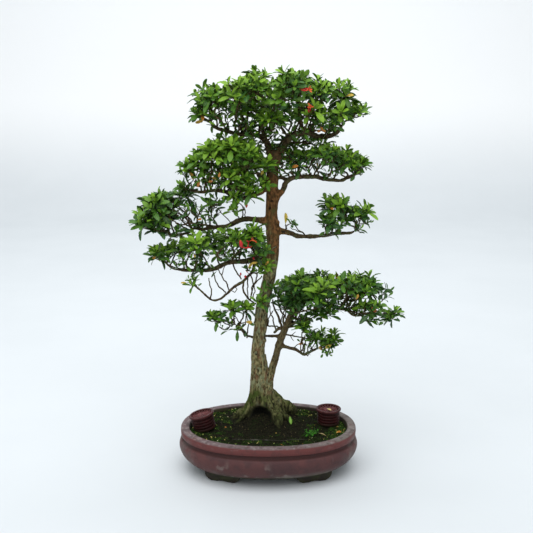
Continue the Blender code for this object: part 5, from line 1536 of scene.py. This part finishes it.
for name, (face, root) in BLOOMS.items():
    face, root = Vector(face), Vector(root)
    out = (face - root).normalized()
    side = out.orthogonal().normalized()
    foot, bud = face - out * 20, face - out * 9 + side * 4
    stalks = [[(*foot, 0.8, 0), (*(face - out * 8), 0.75, 0), (*face, 1.2, 0)],
              [(*foot, 0.7, 0), (*(bud - out * 3), 0.6, 0), (*bud, 1.0, 0), (*(bud + out * 3.5), 1.5, 0),
               (*(bud + out * 7), 0.9, 0), (*(bud + out * 9), 0.2, 0)]]
    flower = [[face - out * 1.0, out, 0.6, 5, 1.0], [face - out * 0.5, out, 0.3, 3, 0.6]]
    parts = [stems("stalks", stalks, 8, petal_red), foliage("petals", flower, petals, (38, 58), 0.8, 5, petal_red)]
    stands_for(joined(parts, "red_" + name, petal_red), name, name)
put_away(petals)
left_chains = [smooth_rows(rows, 1.2).tolist() for rows in LEFT_BLOOM]
stands_for(stems("red_bloom_left", left_chains, 10, petal_red, 0.0006), "bloom_left", "bloom_left")
bud_rows = []
for foot, place, radius in SMALL_BUDS:
    foot, place, up = Vector(foot), Vector(place), Vector((0, -0.2, 1))
    bud_rows.append([(*foot, 0.5, 0), (*((foot + place) / 2 - up), 0.5, 0), (*(place - up), 0.6, 0),
                     (*(place + up * 0.3), radius, 0), (*(place + up * 2), radius, 0),
                     (*(place + up * 3.6), 0.3, 0)])
stands_for(stems("small_buds", bud_rows, 8, petal_red), "wood", "wood")


# A small weed grows through the moss at the front right: soft stems with paired leaves.
# Its foot goes down into the soil.
WEED_X, WEED_Y, WEED_STEMS = 68.0, -38.0, 9
herb = Finish("weed_green", 0.6, 0.2)
herb.base(herb.between(herb.carried("tone_of_leaf"), 0.1, 0.9), (0.012, 0.075, 0.004), (0.05, 0.24, 0.01))
herb.coat("paler blotches", (0.03, 0.11, 0.015), herb.speckle(300, 0.4, 0.7), 0.4)
weed_green = herb.done(herb.speckle(900, 0.2, 0.8), 0.3, 0.5)
herb_kit = kit("herb_kit", [leaf_blade("herb_0", 7.5, 3.4, 0.15, 0.25, LEAF_ROWS),
                            leaf_blade("herb_1", 6.5, 3.6, 0.05, 0.3, LEAF_ROWS)])
foot = Vector((WEED_X, WEED_Y, ground(WEED_X, WEED_Y)))
stalks, sprigs = [], []
random.seed(71)
for k in range(WEED_STEMS):
    turn = 2 * math.pi * k / WEED_STEMS + 0.3
    out = Vector((math.cos(turn) * 1.3, math.sin(turn), 0))
    high = random.uniform(5, 11)
    top = foot + out * random.uniform(4, 9) + Vector((0, 5, high))
    middle = foot + out * 1.8 + Vector((0, 0, high * 0.65))
    stalks.append([(*(foot - Vector((0, 0, 7))), 0.5, 0), (*foot, 0.5, 0), (*middle, 0.45, 0), (*top, 0.35, 0)])
    aim = (out * 0.5 + Vector((0, 0, 1))).normalized()
    sprigs.append([top, aim, random.uniform(0.2, 0.7), 4, random.uniform(0.75, 1.0)])
parts = [stems("weed_stalks", stalks, 6, weed_green),
         foliage("weed_leaves", sprigs, herb_kit, (8, 50), 1.5, 9, weed_green)]
stands_for(joined(parts, "small_weed", weed_green), "weed", "weed")
put_away(herb_kit)


# Fallen leaves lie where they dropped: a green, a tan and an orange one on the soil, a yellow one on a lid.
# They have curled as they dried.
FALLEN_ROWS = [(0.08, 0.14), (0.22, 0.45), (0.38, 0.75), (0.55, 0.97), (0.7, 1.0), (0.85, 0.74), (0.94, 0.42)]
# Each has its place and turn, its length and width, its bend, how much it dips from the soil, and its two tones.
FALLEN = {"green": ((36, 4, 280), (14.5, 5), 0.12, -0.55, (0.1, 0.3, 0.015), (0.17, 0.4, 0.035)),
          "tan": ((86, -29, 160), (14.5, 4.8), -0.1, 0, (0.5, 0.34, 0.12), (0.66, 0.52, 0.26)),
          "orange": ((112, -18, 20), (10.5, 4.4), -0.1, 0, (0.55, 0.1, 0.01), (0.6, 0.3, 0.02)),
          "yellow": ((98.5, 8, -58), (13, 3.4), -0.1, 0, (0.62, 0.47, 0.1), (0.66, 0.52, 0.2))}
FALLEN_TILT = 14
for name, ((x, y, turn), (long, wide), bend, steeper, one, two) in FALLEN.items():
    leaf = leaf_blade("dropped_leaf_" + name, long, wide, bend, 0.42, FALLEN_ROWS, 0.45)
    leaf.data.transform(Matrix.Translation(Vector((-long / 2, 0, 0)) * MM))
    slope = Vector((math.cos(math.radians(turn)), math.sin(math.radians(turn)), 0))
    if name != "yellow":
        rise = ground(x + slope.x * 6, y + slope.y * 6) - ground(x - slope.x * 6, y - slope.y * 6)
        slope = Vector((slope.x, slope.y, rise / 12 + steeper)).normalized()
    leaf.data.transform(Matrix.Rotation(math.radians(FALLEN_TILT), 4, "X"))
    leaf.data.transform(slope.to_track_quat("X", "Z").to_matrix().to_4x4())
    points = [v.co for v in leaf.data.vertices]
    if name == "yellow":
        lift = (BASKETS["right"][0][2] + BASKET_HEIGHT) * MM - min(p.z for p in points)
    else:
        lift = max(ground(x + p.x / MM, y + p.y / MM) * MM - p.z for p in points) - 0.4 * MM
    leaf.data.transform(Matrix.Translation(Vector((x * MM, y * MM, lift))))
    dried = Finish("dried_" + name, 0.6, 0.4)
    dried.base(dried.speckle(160, 0.35, 0.65), one, two)
    dried.coat("midrib", (0.6, 0.5, 0.25), dried.between(blade_spots(dried)[1], 0.08, 0.02), 0.5)
    leaf.data.materials.append(dried.done(dried.speckle(500, 0.2, 0.8), 0.4, 0.6))
    stands_for(leaf, "fallen_leaf_" + name, "fallen_leaf_" + name)
